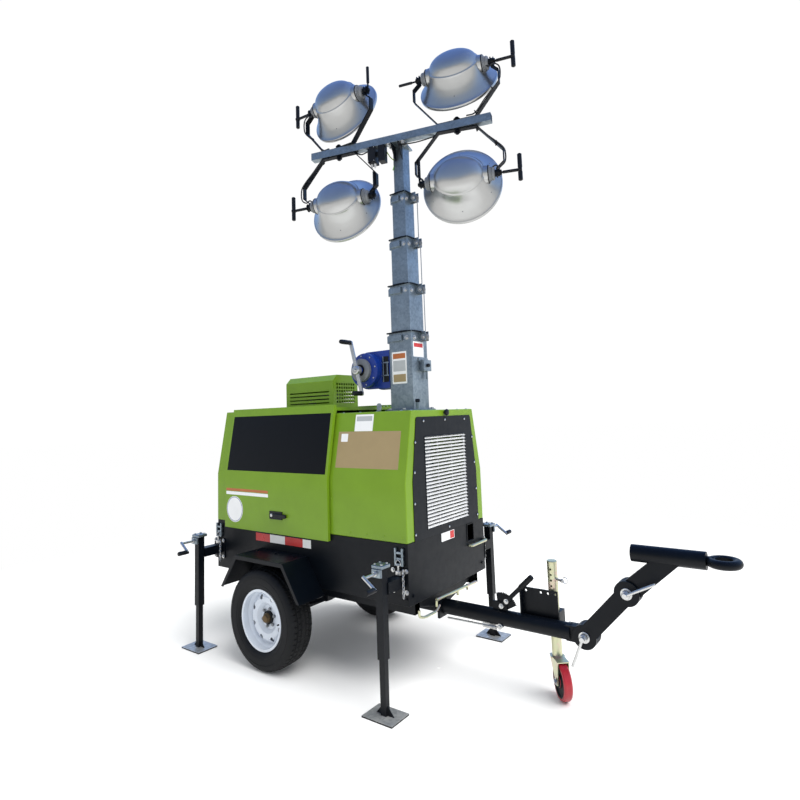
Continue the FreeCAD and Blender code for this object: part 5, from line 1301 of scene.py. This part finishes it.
class BarFinish(bpy.types.Operator):
    """Light bar with its bolts, wiring, junction box lid and connectors"""

    bl_idname = "tower.bar"
    bl_label = "Light bar and wiring"

    def execute(self, context):
        eased("light_bar", "galvanised", 0.004)
        eased("junction_box", "plastic", 0.0025)
        self.bolts()
        self.wiring()
        self.box()
        return {"FINISHED"}

    def at(self, along, back=0.0, up=0.0):
        """Place on the bar: along it, behind its middle and above it."""
        return np.array((MAST_X, 0.0, 3.43 + up)) + HEAD_ALONG * along + HEAD_BACK * (back - 0.075)

    def bolts(self):
        """Clamp bolts over the head, drain screws and an end cap at each end."""
        bolts = Shape()
        for spot in (-0.5, -0.12, 0.06, 0.5):
            bolts.bolt(self.at(spot, 0.0, 0.026), Z_AXIS, 0.017, 0.008)
        model_piece("bar_bolts", bolts, "bright zinc", "mast_head")
        caps = Shape()
        for end in (-1, 1):
            caps.plate(box_outline(0.05, 0.05, 0.006), 0.002,
                       place(self.at(end * 0.6512), HEAD_ALONG * end, HEAD_BACK), 0.0006)
        model_piece("bar_caps", caps, "rubber", "mast_head")

    def wiring(self):
        """Two grey conduits behind the bar, its clips and the loops that leave them for the lamps."""
        conduit = Shape()
        for up, ends in ((-0.014, (-0.6, -0.1)), (0.006, (-0.1, 0.6))):
            path = np.stack([self.at(s, 0.0345, up + 0.0015 * math.sin(s * 40)) for s in
                             np.linspace(ends[0], ends[1], 60)])
            conduit.pipe(path, 0.0075, 10)
        model_piece("bar_conduit", conduit, "conduit", "mast_head")
        clips = Shape()
        for spot in (-0.55, -0.36, -0.2, 0.12, 0.34, 0.56):
            up = -0.014 if spot < -0.1 else 0.006
            clips.rod(self.at(spot - 0.006, 0.0345, up), self.at(spot + 0.006, 0.0345, up), 0.0098, 14)
        model_piece("bar_clips", clips, "bright zinc", "mast_head")
        cable = Shape()
        for start, end, dip in ((-0.32, -0.2, -0.05), (0.0, 0.27, -0.045)):
            path = smooth_path([self.at(start, 0.03, -0.02), self.at(start + 0.02, 0.012, -0.034),
                                self.at((start + end) / 2, -0.004, -0.034 + dip * 0.4),
                                self.at(end - 0.02, 0.012, -0.034), self.at(end, 0.03, -0.02)], 8)
            cable.pipe(path, 0.0045, 8)
        model_piece("bar_cables", cable, "sheath", "mast_head")
        earth = Shape()
        path = smooth_path([self.at(-0.1, 0.02, -0.03), self.at(-0.07, 0.04, -0.09),
                            self.at(-0.04, 0.05, -0.13), self.at(-0.052, 0.045, -0.19)], 10)
        earth.pipe(path, 0.0035, 8)
        model_piece("earth_lead", earth, "earth wire", "mast_head")

    def box(self):
        """Lid, screws and glands of the junction box."""
        matrix = place(self.at(-0.1775, -0.036, -0.083), -HEAD_BACK, HEAD_ALONG)
        lid = Shape().plate(box_outline(0.052, 0.108, 0.005), 0.004, matrix, 0.0012)
        model_piece("junction_lid", lid, "plastic", "mast_head")
        screws = Shape()
        for step, rise in four(0.02, 0.048):
            screws.screw(self.at(-0.1775 + step, -0.04, -0.083 + rise), -HEAD_BACK, 0.003)
        model_piece("junction_screws", screws, "bright zinc", "mast_head", smooth=50)
        glands = Shape()
        for along in (-0.19, -0.165):
            glands.rod(self.at(along, 0.0, -0.14), self.at(along, 0.0, -0.152), 0.0085, 12)
            glands.rod(self.at(along, 0.0, -0.15), self.at(along, 0.0, -0.17), 0.006, 12)
        model_piece("junction_glands", glands, "cream", "mast_head")


class LampFinish(bpy.types.Operator):
    """Four floodlights: spun reflectors lathed from one profile, cast sockets, lamps and yokes"""

    bl_idname = "tower.lamps"
    bl_label = "Floodlights"

    def execute(self, context):
        for name in LAMP_NAMES:
            pivot, axis = joint_frame("lamp_%s_tilt" % name)
            glass = middle("glass_" + name)
            forward = unit(glass - pivot)
            matrix = place(pivot, forward, axis)
            eased("yoke_" + name, "black", 0.0015)
            coat("glass_" + name, "glass")
            self.reflector(name, matrix)
            self.sockets(name, matrix)
            self.bulb(name, matrix)
            self.yoke(name, pivot, axis)
        return {"FINISHED"}

    def oval(self, stations, matrix, closed=False):
        """Ellipses: half-length along the tilt axis, half-width across it and depth at each station."""
        angle = np.arange(112) * TAU / 112
        table = np.asarray(stations, float)
        points = np.stack((
            table[:, :1] * np.cos(angle), table[:, 1:2] * np.sin(angle), np.repeat(table[:, 2:], 112, 1)), -1)
        run = np.concatenate(((0.0,), np.cumsum(np.linalg.norm(np.diff(table[:, 1:], axis=0), axis=1))))
        return Shape().grid(
            carried(points, matrix), wrap_rows=closed, wrap_columns=True, along=np.repeat(run, 112))

    def reflector(self, name, matrix):
        """Oval bowl that opens into a round rim, in two skins, with the bead where bowl and cone are spun."""
        dome = np.array((
            (0.0006, 0.0006, -0.1222), (0.035, 0.026, -0.1212), (0.075, 0.057, -0.1162),
            (0.108, 0.084, -0.106), (0.135, 0.107, -0.0895), (0.153, 0.123, -0.069), (0.1635, 0.134, -0.05)))
        bead = np.array(((0.1655, 0.1365, -0.0478), (0.169, 0.14, -0.0465), (0.1705, 0.1415, -0.0435),
                         (0.1705, 0.142, -0.0405)))
        cone = np.array((
            (0.172, 0.1445, -0.034), (0.182, 0.157, -0.008), (0.193, 0.171, 0.014), (0.206, 0.188, 0.034),
            (0.221, 0.206, 0.0525), (0.237, 0.226, 0.0695), (0.2505, 0.243, 0.0825),
            (0.2575, 0.2535, 0.0885)))
        rim = np.array([(radius, radius, depth) for radius, depth in (
            (0.2605, 0.0895), (0.2635, 0.0915), (0.2648, 0.0945), (0.265, 0.1), (0.2648, 0.109),
            (0.2635, 0.1115), (0.2615, 0.112), (0.2598, 0.1105), (0.2596, 0.1), (0.2585, 0.0925))])
        outer = np.concatenate((smooth_path(dome, 4), bead, smooth_path(cone, 4)))
        inner = np.concatenate((dome, cone))
        inner = smooth_path(inner, 4)[::-1] + (-0.0014, -0.0014, 0.002)
        inner[:, :2] = np.maximum(inner[:, :2], 0.0005)
        skin = self.oval(np.concatenate((outer, rim, inner)), matrix, closed=True)
        model_piece("reflector_skin_" + name, skin, "reflector", "lamp_" + name,
                    ("reflector_" + name,), smooth=60)
        bright = inner + (-0.0006, -0.0006, 0.0008)
        bright[:, :2] = np.maximum(bright[:, :2], 0.0004)
        lining = self.oval(np.concatenate((bright, bright[::-1] + (0.0, 0.0, 0.0005))), matrix, closed=True)
        model_piece("reflector_inside_" + name, lining, "inner reflector", "lamp_" + name, smooth=60)
        necks = Shape()
        for way in (-1, 1):
            local = place(matrix[:3, 3], matrix[:3, 0] * way, matrix[:3, 2])
            necks.lathe(
                ((0.064, 0.142), (0.059, 0.168), (0.0575, 0.1855), (0.05, 0.1858), (0.048, 0.15)), local, 48)
        model_piece("reflector_necks_" + name, necks, "reflector", "lamp_" + name, smooth=40)
        rivets = Shape()
        for x, y in around(6, 0.5):
            out = matrix[:3, :3] @ unit((0.7 * x, 0.72 * y, -0.7))
            spot = carried(np.array((0.2215 * x, 0.2065 * y, 0.0525)), matrix)
            rivets.screw(spot - out * 0.0006, out, 0.0042)
        for x, y in around(4, 0.78):
            spot = carried(np.array((0.2645 * x, 0.2645 * y, 0.101)), matrix)
            rivets.screw(spot, matrix[:3, :3] @ np.array((x, y, 0.0)), 0.004)
        model_piece("reflector_rivets_" + name, rivets, "cast", "lamp_" + name, smooth=50)
        seal = Shape().lathe(
            ((0.2605, 0.0985), (0.2605, 0.1085), (0.256, 0.1085), (0.2535, 0.1045), (0.256, 0.0985)),
            matrix, 96, closed=True)
        model_piece("glass_seal_" + name, seal, "rubber", "lamp_" + name, smooth=60)

    def sockets(self, name, matrix):
        """Cast lamp holders on the tilt axis with a gasket flange and screws."""
        cast, gasket, screws = Shape(), Shape(), Shape()
        for way in (-1, 1):
            across = matrix[:3, 0] * way
            local = place(matrix[:3, 3], across, matrix[:3, 2])
            cast.lathe(((0.0003, 0.228), (0.03, 0.228), (0.037, 0.2262), (0.0412, 0.222), (0.0432, 0.2135),
                        (0.0408, 0.211), (0.0408, 0.2075), (0.044, 0.205), (0.0452, 0.1985), (0.054, 0.197),
                        (0.0556, 0.1955), (0.0556, 0.1918), (0.045, 0.1912), (0.045, 0.17)), local, 48)
            gasket.lathe(
                ((0.045, 0.1862), (0.0575, 0.1865), (0.0592, 0.1885), (0.0582, 0.1914), (0.045, 0.1914)),
                local, 48, closed=True)
            for x, y in around(4, 0.78, 0.0495):
                screws.screw(carried(np.array((x, y, 0.1968)), local), across, 0.0036)
        model_piece("lamp_sockets_" + name, cast, "cast", "lamp_" + name, smooth=40)
        model_piece("lamp_gaskets_" + name, gasket, "rubber", "lamp_" + name, smooth=40)
        model_piece("lamp_screws_" + name, screws, "bright zinc", "lamp_" + name, smooth=50)

    def bulb(self, name, matrix):
        """Long discharge lamp across the reflector: outer bulb, arc tube, stems and screw cap."""
        across = matrix[:3, 0]
        local = place(matrix[:3, 3] - across * 0.13, across, matrix[:3, 2])
        tube = ((0.0005, 0.09), (0.006, 0.092), (0.0095, 0.105), (0.0095, 0.145), (0.006, 0.158),
                (0.0005, 0.16))
        rows = (
            ("bulb_", "bulb", 70, 40,
             ((0.018, 0.03), (0.024, 0.05), (0.036, 0.085), (0.044, 0.125), (0.043, 0.16), (0.034, 0.19),
              (0.022, 0.21), (0.010, 0.218), (0.0005, 0.22))),
            ("bulb_cap_", "bright zinc", 50, 32,
             ((0.0195, -0.015), (0.0205, -0.008), (0.0192, -0.002), (0.0205, 0.004), (0.0192, 0.01),
              (0.0205, 0.016), (0.0192, 0.022), (0.019, 0.032))),
            ("arc_tube_", "ceramic", 60, 20, tube),
            ("bulb_holder_", "ceramic", 50, 32,
             ((0.0225, -0.035), (0.027, -0.033), (0.027, -0.012), (0.0225, -0.008))))
        for label, finish, smooth, steps, profile in rows:
            shape = Shape().lathe(profile, local, steps)
            if profile is tube:
                for x in (-0.013, 0.013):
                    stem = carried(np.array(((x, 0.0, 0.036), (x, 0.0, 0.2))), local)
                    shape.rod(stem[0], stem[1], 0.0012, 6)
            model_piece(label + name, shape, finish, "lamp_" + name, smooth=smooth)

    def yoke(self, name, pivot, axis):
        """Washers, lock nuts, handle ends and the cable tied along one leg into the socket."""
        body = "yoke_" + name
        column = joint_frame("yoke_%s_swivel" % name)[0]
        up = 1.0 if pivot[2] > column[2] else -1.0
        rise = abs(pivot[2] - column[2])
        side = np.cross(Z_AXIS, axis)
        nuts = Shape()
        for way in (-1, 1):
            nuts.bolt(pivot + axis * way * 0.2592, axis * way, 0.03, 0.01, washer=True)
        nuts.bolt(column + Z_AXIS * up * 0.043, Z_AXIS * up, 0.024, 0.012)
        model_piece("yoke_nuts_" + name, nuts, "black", body)
        outside = 1.0 if name.endswith("front") else -1.0
        centre = pivot + axis * outside * 0.385
        grips = Shape()
        grips.rod(centre - Z_AXIS * 0.069, centre - Z_AXIS * 0.012, 0.0142, 20, 0.002)
        grips.rod(centre + Z_AXIS * 0.012, centre + Z_AXIS * 0.102, 0.0142, 20, 0.002)
        grips.rod(centre - axis * outside * 0.012, centre + axis * outside * 0.012, 0.0155, 20, 0.002)
        grips.rod(centre - axis * outside * 0.108, centre - axis * outside * 0.012, 0.0098, 16, 0.002)
        if name == "upper_front":
            grips.rod(pivot - axis * outside * 0.3, pivot - axis * outside * 0.394, 0.0092, 16, 0.002)
        else:
            inner = pivot - axis * outside * 0.268
            grips.rod(inner + Z_AXIS * 0.05, inner + Z_AXIS * 0.168, 0.0105, 16, 0.002)
        model_piece("yoke_grips_" + name, grips, "plastic", body)

        def leg(offset, height):
            return column + axis * offset + Z_AXIS * up * height - side * 0.024

        way = outside
        points = [
            leg(0.07 * way, 0.04), leg(0.13 * way, 0.048), leg(0.2 * way, 0.13 + (rise - 0.376)),
            leg(0.285 * way, rise - 0.16), leg(0.302 * way, rise - 0.11), leg(0.296 * way, rise - 0.055),
            leg(0.262 * way, rise - 0.03), leg(0.235 * way, rise - 0.042), leg(0.214 * way, rise - 0.03)]
        cable = Shape().pipe(smooth_path(points, 8), 0.0048, 8)
        model_piece("lamp_cable_" + name, cable, "sheath", body)
        ties = Shape()
        for offset, height in ((0.13, 0.05), (0.245, rise - 0.195)):
            matrix = place(leg(offset * way, height) + side * 0.012, axis + Z_AXIS * up * 0.9, side)
            ties.plate(box_outline(0.052, 0.02, 0.004), 0.004, matrix, 0.0008)
        model_piece("cable_ties_" + name, ties, "plastic", body)


class JackFinish(bpy.types.Operator):
    """Outrigger jacks: cap plates, gearboxes, cranks with grips, receiver plates and feet"""

    bl_idname = "tower.jacks"
    bl_label = "Jacks"

    def execute(self, context):
        for end in ENDS:
            for name, side in SIDES:
                label = "%s_%s" % (end, name)
                eased("jack_" + label, "black", 0.002)
                eased("jack_leg_" + label, "black", 0.0018)
                x, y, _ = middle("jack_leg_" + label)
                self.head(label, side, x)
                self.receiver(label, side, x)
                self.foot(label, x, y)
        return {"FINISHED"}

    def head(self, label, side, x):
        """Bright cap, gearbox cover, shaft collar and the crank with its grip."""
        y, top, shaft_z = side * 0.615, 0.766, 0.73
        body = "jack_" + label
        out = Y_AXIS * side
        cover = y + side * 0.0445
        cap = Shape().block(
            (x - 0.038, y - 0.038, top - 0.0138), (x + 0.038, y + 0.038, top + 0.003), 0.002, 0.008)
        cap.block((x - 0.031, cover, 0.7075), (x + 0.031, cover - side * 0.016, 0.7525), 0.002, 0.004)
        model_piece(body + "_cap", cap, "galvanised", body)
        bolts = Shape()
        for step, across in four(0.022, 0.022):
            bolts.bolt((x + step, y + across, top + 0.003), Z_AXIS, 0.013, 0.006, washer=False)
        shaft = np.array((x, cover, shaft_z))
        bolts.rod(shaft, shaft + out * 0.014, 0.013, 20)
        model_piece(body + "_bolts", bolts, "bright zinc", body)
        drop = math.radians(35)
        arm = np.array((math.cos(drop), 0.0, -math.sin(drop)))
        hub = np.array((x, side * 0.76, shaft_z))
        knee = hub + arm * 0.083
        crank = Shape().rod(shaft + out * 0.014, hub, 0.0078, 16)
        crank.rod(hub - out * 0.006 - arm * 0.012, knee - out * 0.006 + arm * 0.006, 0.0088, 16)
        model_piece(body + "_crank", crank, "bright zinc", body)
        grip = Shape().lathe(
            ((0.0126, 0.002), (0.0145, 0.006), (0.0135, 0.03), (0.0145, 0.055), (0.0128, 0.0605),
             (0.0003, 0.0618)), place(knee, out), 20)
        model_piece(body + "_grip", grip, "plastic", body)

    def receiver(self, label, side, x):
        """Flanged plate where the arm leaves the base, its cap screws, lock pin, channel and chain."""
        out, face = Y_AXIS * side, side * BASE_HALF
        matrix = place((x, face, ARM_Z), out, X_AXIS * -side)
        plate = Shape().framed(
            box_outline(0.118, 0.14, 0.012), box_outline(0.064, 0.064, 0.004), 0.0, 0.0075, matrix)
        model_piece("receiver_plate_" + label, plate, "black", "trailer", bevel=0.001)
        bolts = Shape()
        for step, rise in four(0.046, 0.056):
            bolts.bolt((x + step, face + side * 0.0075, ARM_Z + rise), out, 0.014, 0.006)
        model_piece("receiver_bolts_" + label, bolts, "bright zinc", "trailer")
        head = np.array((x, face + side * 0.018, ARM_Z + 0.076))
        pin = Shape().rod(head - Z_AXIS * 0.044, head + Z_AXIS * 0.012, 0.0055, 14)
        pin.pipe(circle(head + Z_AXIS * 0.022, X_AXIS, Z_AXIS, 0.016, 28), 0.0017, 6, closed=True)
        low = np.array((x - 0.016, face, ARM_Z + 0.035))
        pin.block(low, low + np.array((0.032, side * 0.026, 0.022)), 0.001, 0.003)
        channel = Shape()
        for z in (ARM_Z + 0.082, ARM_Z + 0.114, ARM_Z + 0.146):
            channel.block((x - 0.03, face, z), (x + 0.03, face + side * 0.012, z + 0.012), 0.0008, 0.003)
        for step in (-0.03, 0.018):
            channel.block((x + step, face, ARM_Z + 0.082),
                          (x + step + 0.012, face + side * 0.016, ARM_Z + 0.178), 0.0008, 0.003)
        model_piece("receiver_channel_" + label, channel, "galvanised", "trailer")
        model_piece("receiver_pin_" + label, pin, "bright zinc", "trailer")
        links = Shape()
        for index in range(9):
            centre = np.array((x + 0.04, face + side * 0.03, ARM_Z + 0.06 - index * 0.0165))
            flat = X_AXIS if index % 2 else Y_AXIS
            links.pipe(circle(centre, flat, Z_AXIS, 0.006, 16, 0.0115), 0.002, 6, closed=True)
        model_piece("receiver_chain_" + label, links, "bright zinc", "trailer")

    def foot(self, label, x, y):
        """Worn zinc sheet over the foot plate, open round the leg."""
        sheet = Shape().framed(box_outline(0.2, 0.15, 0.003), box_outline(0.0365, 0.0365, 0.003), -0.0002,
                               0.0008, place((x, y, 0.008)))
        model_piece("foot_sheet_" + label, sheet, "foot zinc", "leg_" + label)


class DrawbarFinish(bpy.types.Operator):
    """Drawbar, its two toothed pivots with bolts and T-handles, brake lever and towing eye"""

    bl_idname = "tower.drawbar"
    bl_label = "Drawbar"

    def execute(self, context):
        for node in ("drawbar", "drawbar_link", "brake_lever"):
            eased(node, "black", 0.0022)
        eased("coupling", "black", 0.0025)
        self.pivot("low", joint_frame("drawbar_low_pivot")[0], "drawbar_link", (-0.06, -0.145))
        self.pivot("high", joint_frame("drawbar_high_pivot")[0], "coupling", (0.145, 0.075))
        self.brake()
        return {"FINISHED"}

    def pivot(self, label, centre, body, throw):
        """Hexagon nut and washers on the near side, handle boss, and the T-rod that tightens it."""
        metal = Shape()
        for side in (-1, 1):
            start = centre + Y_AXIS * side * 0.0445
            metal.rod(start, start + Y_AXIS * side * 0.004, 0.0285, 40, 0.001)
            metal.bolt(start + Y_AXIS * side * 0.004, Y_AXIS * side, 0.036, 0.018, washer=False)
        near = centre - Y_AXIS * 0.075
        far = near + np.array((throw[0], 0.0, throw[1]))
        metal.rod(near + Y_AXIS * 0.012, near - Y_AXIS * 0.012, 0.0135, 24)
        metal.rod(near, far, 0.0072, 14)
        model_piece("pivot_%s_metal" % label, metal, "bright zinc", body)

    def brake(self):
        """Ratchet segment, rod, spring and grip of the brake lever."""
        foot = np.array((0.457, 0.0, 0.448))
        teeth = 15
        angle = np.linspace(math.radians(20), math.radians(115), teeth * 2)
        radius = np.where(np.arange(teeth * 2) % 2 == 0, 0.094, 0.087)
        arc = np.stack((radius * np.cos(angle), radius * np.sin(angle)), 1)
        outline = np.concatenate((arc, ((-0.03, 0.0), (0.03, 0.0))))
        ratchet = Shape().plate(outline, 0.005, place(foot + (0.0, 0.006, -0.02), -Y_AXIS, X_AXIS))
        model_piece("brake_ratchet", ratchet, "black", "trailer")
        rod = Shape().rod((0.1, -0.03, 0.326), (0.44, -0.03, 0.331), 0.0055, 12)
        rod.rod((0.44, -0.03, 0.331), (0.47, -0.03, 0.345), 0.008, 12)
        rod.coil(np.array((0.34, -0.03, 0.33)), X_AXIS, Y_AXIS, Z_AXIS, 0.085, 0.012, 12, 0.0018, 14)
        rod.bolt((0.452, -0.0385, 0.341), -Y_AXIS, 0.017, 0.008)
        model_piece("brake_rod", rod, "bright zinc", "trailer")
        slope = math.radians(44)
        out = np.array((math.cos(slope), 0.0, math.sin(slope)))
        pins = Shape()
        for reach in (0.0, 0.045):
            pins.bolt(foot - Y_AXIS * 0.0181 + out * reach, -Y_AXIS, 0.015, 0.007)
        model_piece("brake_pins", pins, "bright zinc", "trailer")
        ridges = [((0.0164, 0.0152)[index % 2], index * 0.0065) for index in range(14)]
        grip = Shape().lathe([(0.0152, -0.004)] + ridges + [(0.013, 0.0905), (0.0003, 0.0915)],
                             place(foot - Y_AXIS * 0.012 + out * 0.18, out), 20)
        model_piece("brake_grip", grip, "rubber", "trailer")


class JockeyFinish(bpy.types.Operator):
    """Jockey leg: plated tube with its pull pin, fork, and the red wheel with its hub"""

    bl_idname = "tower.jockey"
    bl_label = "Jockey wheel"

    def execute(self, context):
        eased("jockey_tube", "yellow zinc", 0.0015)
        eased("jockey_fork", "yellow zinc", 0.0015)
        coat("jockey_wheel", "red")
        centre, axis = joint_frame("jockey_wheel_spin")
        hub, bolts = Shape(), Shape()
        profile = ((0.0085, 0.024), (0.028, 0.024), (0.031, 0.021), (0.034, 0.0142), (0.0715, 0.0152),
                   (0.0785, 0.0225), (0.0815, 0.0236), (0.0815, 0.0226), (0.078, 0.0212), (0.071, 0.0134),
                   (0.033, 0.0126), (0.0085, 0.02))
        for side in (-1, 1):
            hub.lathe(profile, place(centre, axis * side, Z_AXIS), 48, closed=True)
            bolts.bolt(centre + axis * side * 0.0372, axis * side, 0.019, 0.009)
        model_piece("jockey_hub", hub, "rubber", "jockey_wheel", smooth=40)
        model_piece("jockey_axle_nuts", bolts, "bright zinc", "jockey_fork")
        x, y = 0.736, 0.082
        pin = Shape().rod((x + 0.02, y - 0.01, 0.62), (x + 0.062, y - 0.03, 0.62), 0.007, 16)
        pin.rod((x + 0.06, y - 0.029, 0.62), (x + 0.072, y - 0.035, 0.62), 0.0105, 16)
        loop = circle(np.array((x + 0.088, y - 0.043, 0.628)), unit((0.042, -0.02, 0.0)), Z_AXIS, 0.017, 30)
        pin.pipe(loop, 0.0022, 7, closed=True)
        model_piece("jockey_pull_pin", pin, "bright zinc", "jockey_tube")
        clamp = Shape()
        for step, z in ((0.0, 0.375), (0.0, 0.43), (-0.03, 0.4)):
            clamp.bolt((x + step, y + 0.042, z), Y_AXIS, 0.017, 0.008)
        model_piece("jockey_clamp_bolts", clamp, "bright zinc", "trailer")
        cap = Shape().lathe(
            ((0.0003, 0.004), (0.0265, 0.004), (0.0285, 0.0015), (0.0285, -0.004), (0.0281, -0.006)),
            place((x, y, 0.712)), 32)
        model_piece("jockey_cap", cap, "yellow zinc", "jockey_tube", smooth=40)
        return {"FINISHED"}


class StageSetup(bpy.types.Operator):
    """Pale floor, soft sky, one sun from the drawbar side, and the photo's camera"""

    bl_idname = "tower.stage"
    bl_label = "Stage"

    def execute(self, context):
        scene = context.scene
        scene.view_settings.view_transform = "Standard"
        self.camera(scene)
        self.floor(scene)
        self.light(scene)
        self.sky(scene)
        return {"FINISHED"}

    def camera(self, scene):
        """Camera of the photo: yaw, pitch and roll turned into three axes."""
        yaw, pitch, roll = (math.radians(part) for part in (36.3027, 5.7913, -2.018))
        level = math.cos(pitch)
        forward = np.array((-math.sin(yaw) * level, math.cos(yaw) * level, math.sin(pitch)))
        right = np.array((math.cos(yaw), math.sin(yaw), 0.0))
        up = np.cross(right, forward)
        matrix = np.eye(4)
        matrix[:3, 0] = math.cos(roll) * right + math.sin(roll) * up
        matrix[:3, 1] = -math.sin(roll) * right + math.cos(roll) * up
        matrix[:3, 2] = -forward
        matrix[:3, 3] = (1.9858, -2.9946, 1.5588)
        lens = bpy.data.cameras.new("Photo camera")
        lens.sensor_width = 36.0
        lens.lens = 24.89
        lens.shift_y = -0.0512
        lens.clip_end = 200.0
        item = bpy.data.objects.new("Photo camera", lens)
        scene.collection.objects.link(item)
        item.matrix_world = Matrix(matrix.tolist())
        scene.camera = item

    def floor(self, scene):
        """Round white floor that melts into the white behind it with distance."""
        radii = np.concatenate(((0.01,), np.linspace(1.0, 60.0, 30)))
        points = np.stack([circle(np.zeros(3), X_AXIS, Y_AXIS, radius, 64) for radius in radii])
        shape = Shape().grid(points, wrap_columns=True)
        mesh = bpy.data.meshes.new("Floor")
        mesh.from_pydata(shape.points[0].tolist(), [], shape.faces)
        item = bpy.data.objects.new("Floor", mesh)
        scene.collection.objects.link(item)
        material, tree, shader = new_material("Floor")
        tree.nodes.remove(shader)
        ground = add_node(tree, "ShaderNodeBsdfDiffuse", Color=(0.92, 0.92, 0.92, 1.0))
        glow = add_node(tree, "ShaderNodeEmission", Color=(1.0, 1.0, 1.0, 1.0), Strength=1.0)
        where = add_node(tree, "ShaderNodeTexCoord")
        away = add_node(tree, "ShaderNodeVectorMath", operation="LENGTH")
        both = add_node(tree, "ShaderNodeMixShader")
        link(tree, ranged(tree, away.outputs["Value"], 0.0, 1.0, 2.2, 5.5), both.inputs[0])
        wires(tree, (where, "Object", away, 0), (ground, "BSDF", both, 1), (glow, "Emission", both, 2),
              (both, "Shader", tree.nodes["Material Output"], "Surface"))
        mesh.materials.append(material)

    def light(self, scene):
        """Sun from the drawbar side."""
        sun = bpy.data.lights.new("Sun", "SUN")
        sun.energy = 3.1
        sun.angle = math.radians(48)
        sun.color = (1.0, 0.985, 0.96)
        item = bpy.data.objects.new("Sun", sun)
        item.visible_glossy = False
        item.rotation_euler = Vector((-0.6, -0.04, -0.95)).to_track_quat("-Z", "Y").to_euler()
        scene.collection.objects.link(item)

    def sky(self, scene):
        """World: white to the camera; else a blue sky over warm ground, which only mirrors see."""
        world = bpy.data.worlds.new("Yard")
        scene.world = world
        world.use_nodes = True
        tree = world.node_tree
        back = tree.nodes["Background"]
        view = add_node(tree, "ShaderNodeLightPath")
        way = add_node(tree, "ShaderNodeTexCoord")
        split = add_node(tree, "ShaderNodeSeparateXYZ")
        lit = add_node(tree, "ShaderNodeVectorMath", operation="SCALE")
        wires(tree, (way, "Generated", split, "Vector"))
        stops = ((0.0, (0.2, 0.19, 0.16)), (0.46, (0.3, 0.29, 0.24)), (0.495, (0.5, 0.5, 0.47)),
                 (0.54, (0.8, 0.85, 0.9)), (0.63, (0.36, 0.56, 0.92)), (1.0, (0.08, 0.22, 0.7)))
        height = ranged(tree, split.outputs["Z"], 0.0, 1.0, -1.0, 1.0)
        link(tree, ramped(tree, height, stops), lit.inputs[0])
        link(tree, ranged(tree, split.outputs["Y"], 0.75, 1.5, -0.7, 0.7), lit.inputs["Scale"])
        mirrored = mixed(tree, view.outputs["Is Glossy Ray"], (0.93, 0.96, 1.0), lit.outputs["Vector"])
        shown = mixed(tree, view.outputs["Is Camera Ray"], mirrored, (1.2, 1.2, 1.2))
        link(tree, shown, back.inputs["Color"])
        back.inputs["Strength"].default_value = 0.85


class TowerPanel(bpy.types.Panel):
    """Buttons for the groups and their sizes"""

    bl_idname = "VIEW3D_PT_tower"
    bl_label = "Light tower"
    bl_space_type = "VIEW_3D"
    bl_region_type = "UI"
    bl_category = "Light Tower"

    def draw(self, context):
        layout = self.layout
        for group in (context.scene.tower_colours, context.scene.tower_tyres, context.scene.tower_fasteners):
            for name in group.__annotations__:
                layout.prop(group, name)
        for operator in OPERATORS:
            layout.operator(operator.bl_idname)


GROUPS = (TowerColours, TyreSizes, FastenerSizes)
OPERATORS = (
    CanopyFinish, SignFinish, FrontFinish, GuardFinish, BaseFinish, WheelFinish, MastFinish, WinchFinish,
    BarFinish, LampFinish, JackFinish, DrawbarFinish, JockeyFinish, StageSetup)


def register():
    """Make the groups, operators and panel known."""
    for item in (*GROUPS, *OPERATORS, TowerPanel):
        bpy.utils.register_class(item)
    bpy.types.Scene.tower_colours = PointerProperty(type=TowerColours)
    bpy.types.Scene.tower_tyres = PointerProperty(type=TyreSizes)
    bpy.types.Scene.tower_fasteners = PointerProperty(type=FastenerSizes)


def unregister():
    """Take them away again."""
    del bpy.types.Scene.tower_fasteners
    del bpy.types.Scene.tower_tyres
    del bpy.types.Scene.tower_colours
    for item in reversed((*GROUPS, *OPERATORS, TowerPanel)):
        bpy.utils.unregister_class(item)


def main():
    """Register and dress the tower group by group."""
    register()
    look.update(finishes(bpy.context.scene.tower_colours))
    bpy.ops.tower.canopy()
    bpy.ops.tower.signs()
    bpy.ops.tower.front()
    bpy.ops.tower.guard()
    bpy.ops.tower.base()
    bpy.ops.tower.wheels()
    bpy.ops.tower.mast()
    bpy.ops.tower.winch()
    bpy.ops.tower.bar()
    bpy.ops.tower.lamps()
    bpy.ops.tower.jacks()
    bpy.ops.tower.drawbar()
    bpy.ops.tower.jockey()
    bpy.ops.tower.stage()


if __name__ == "__main__":
    main()
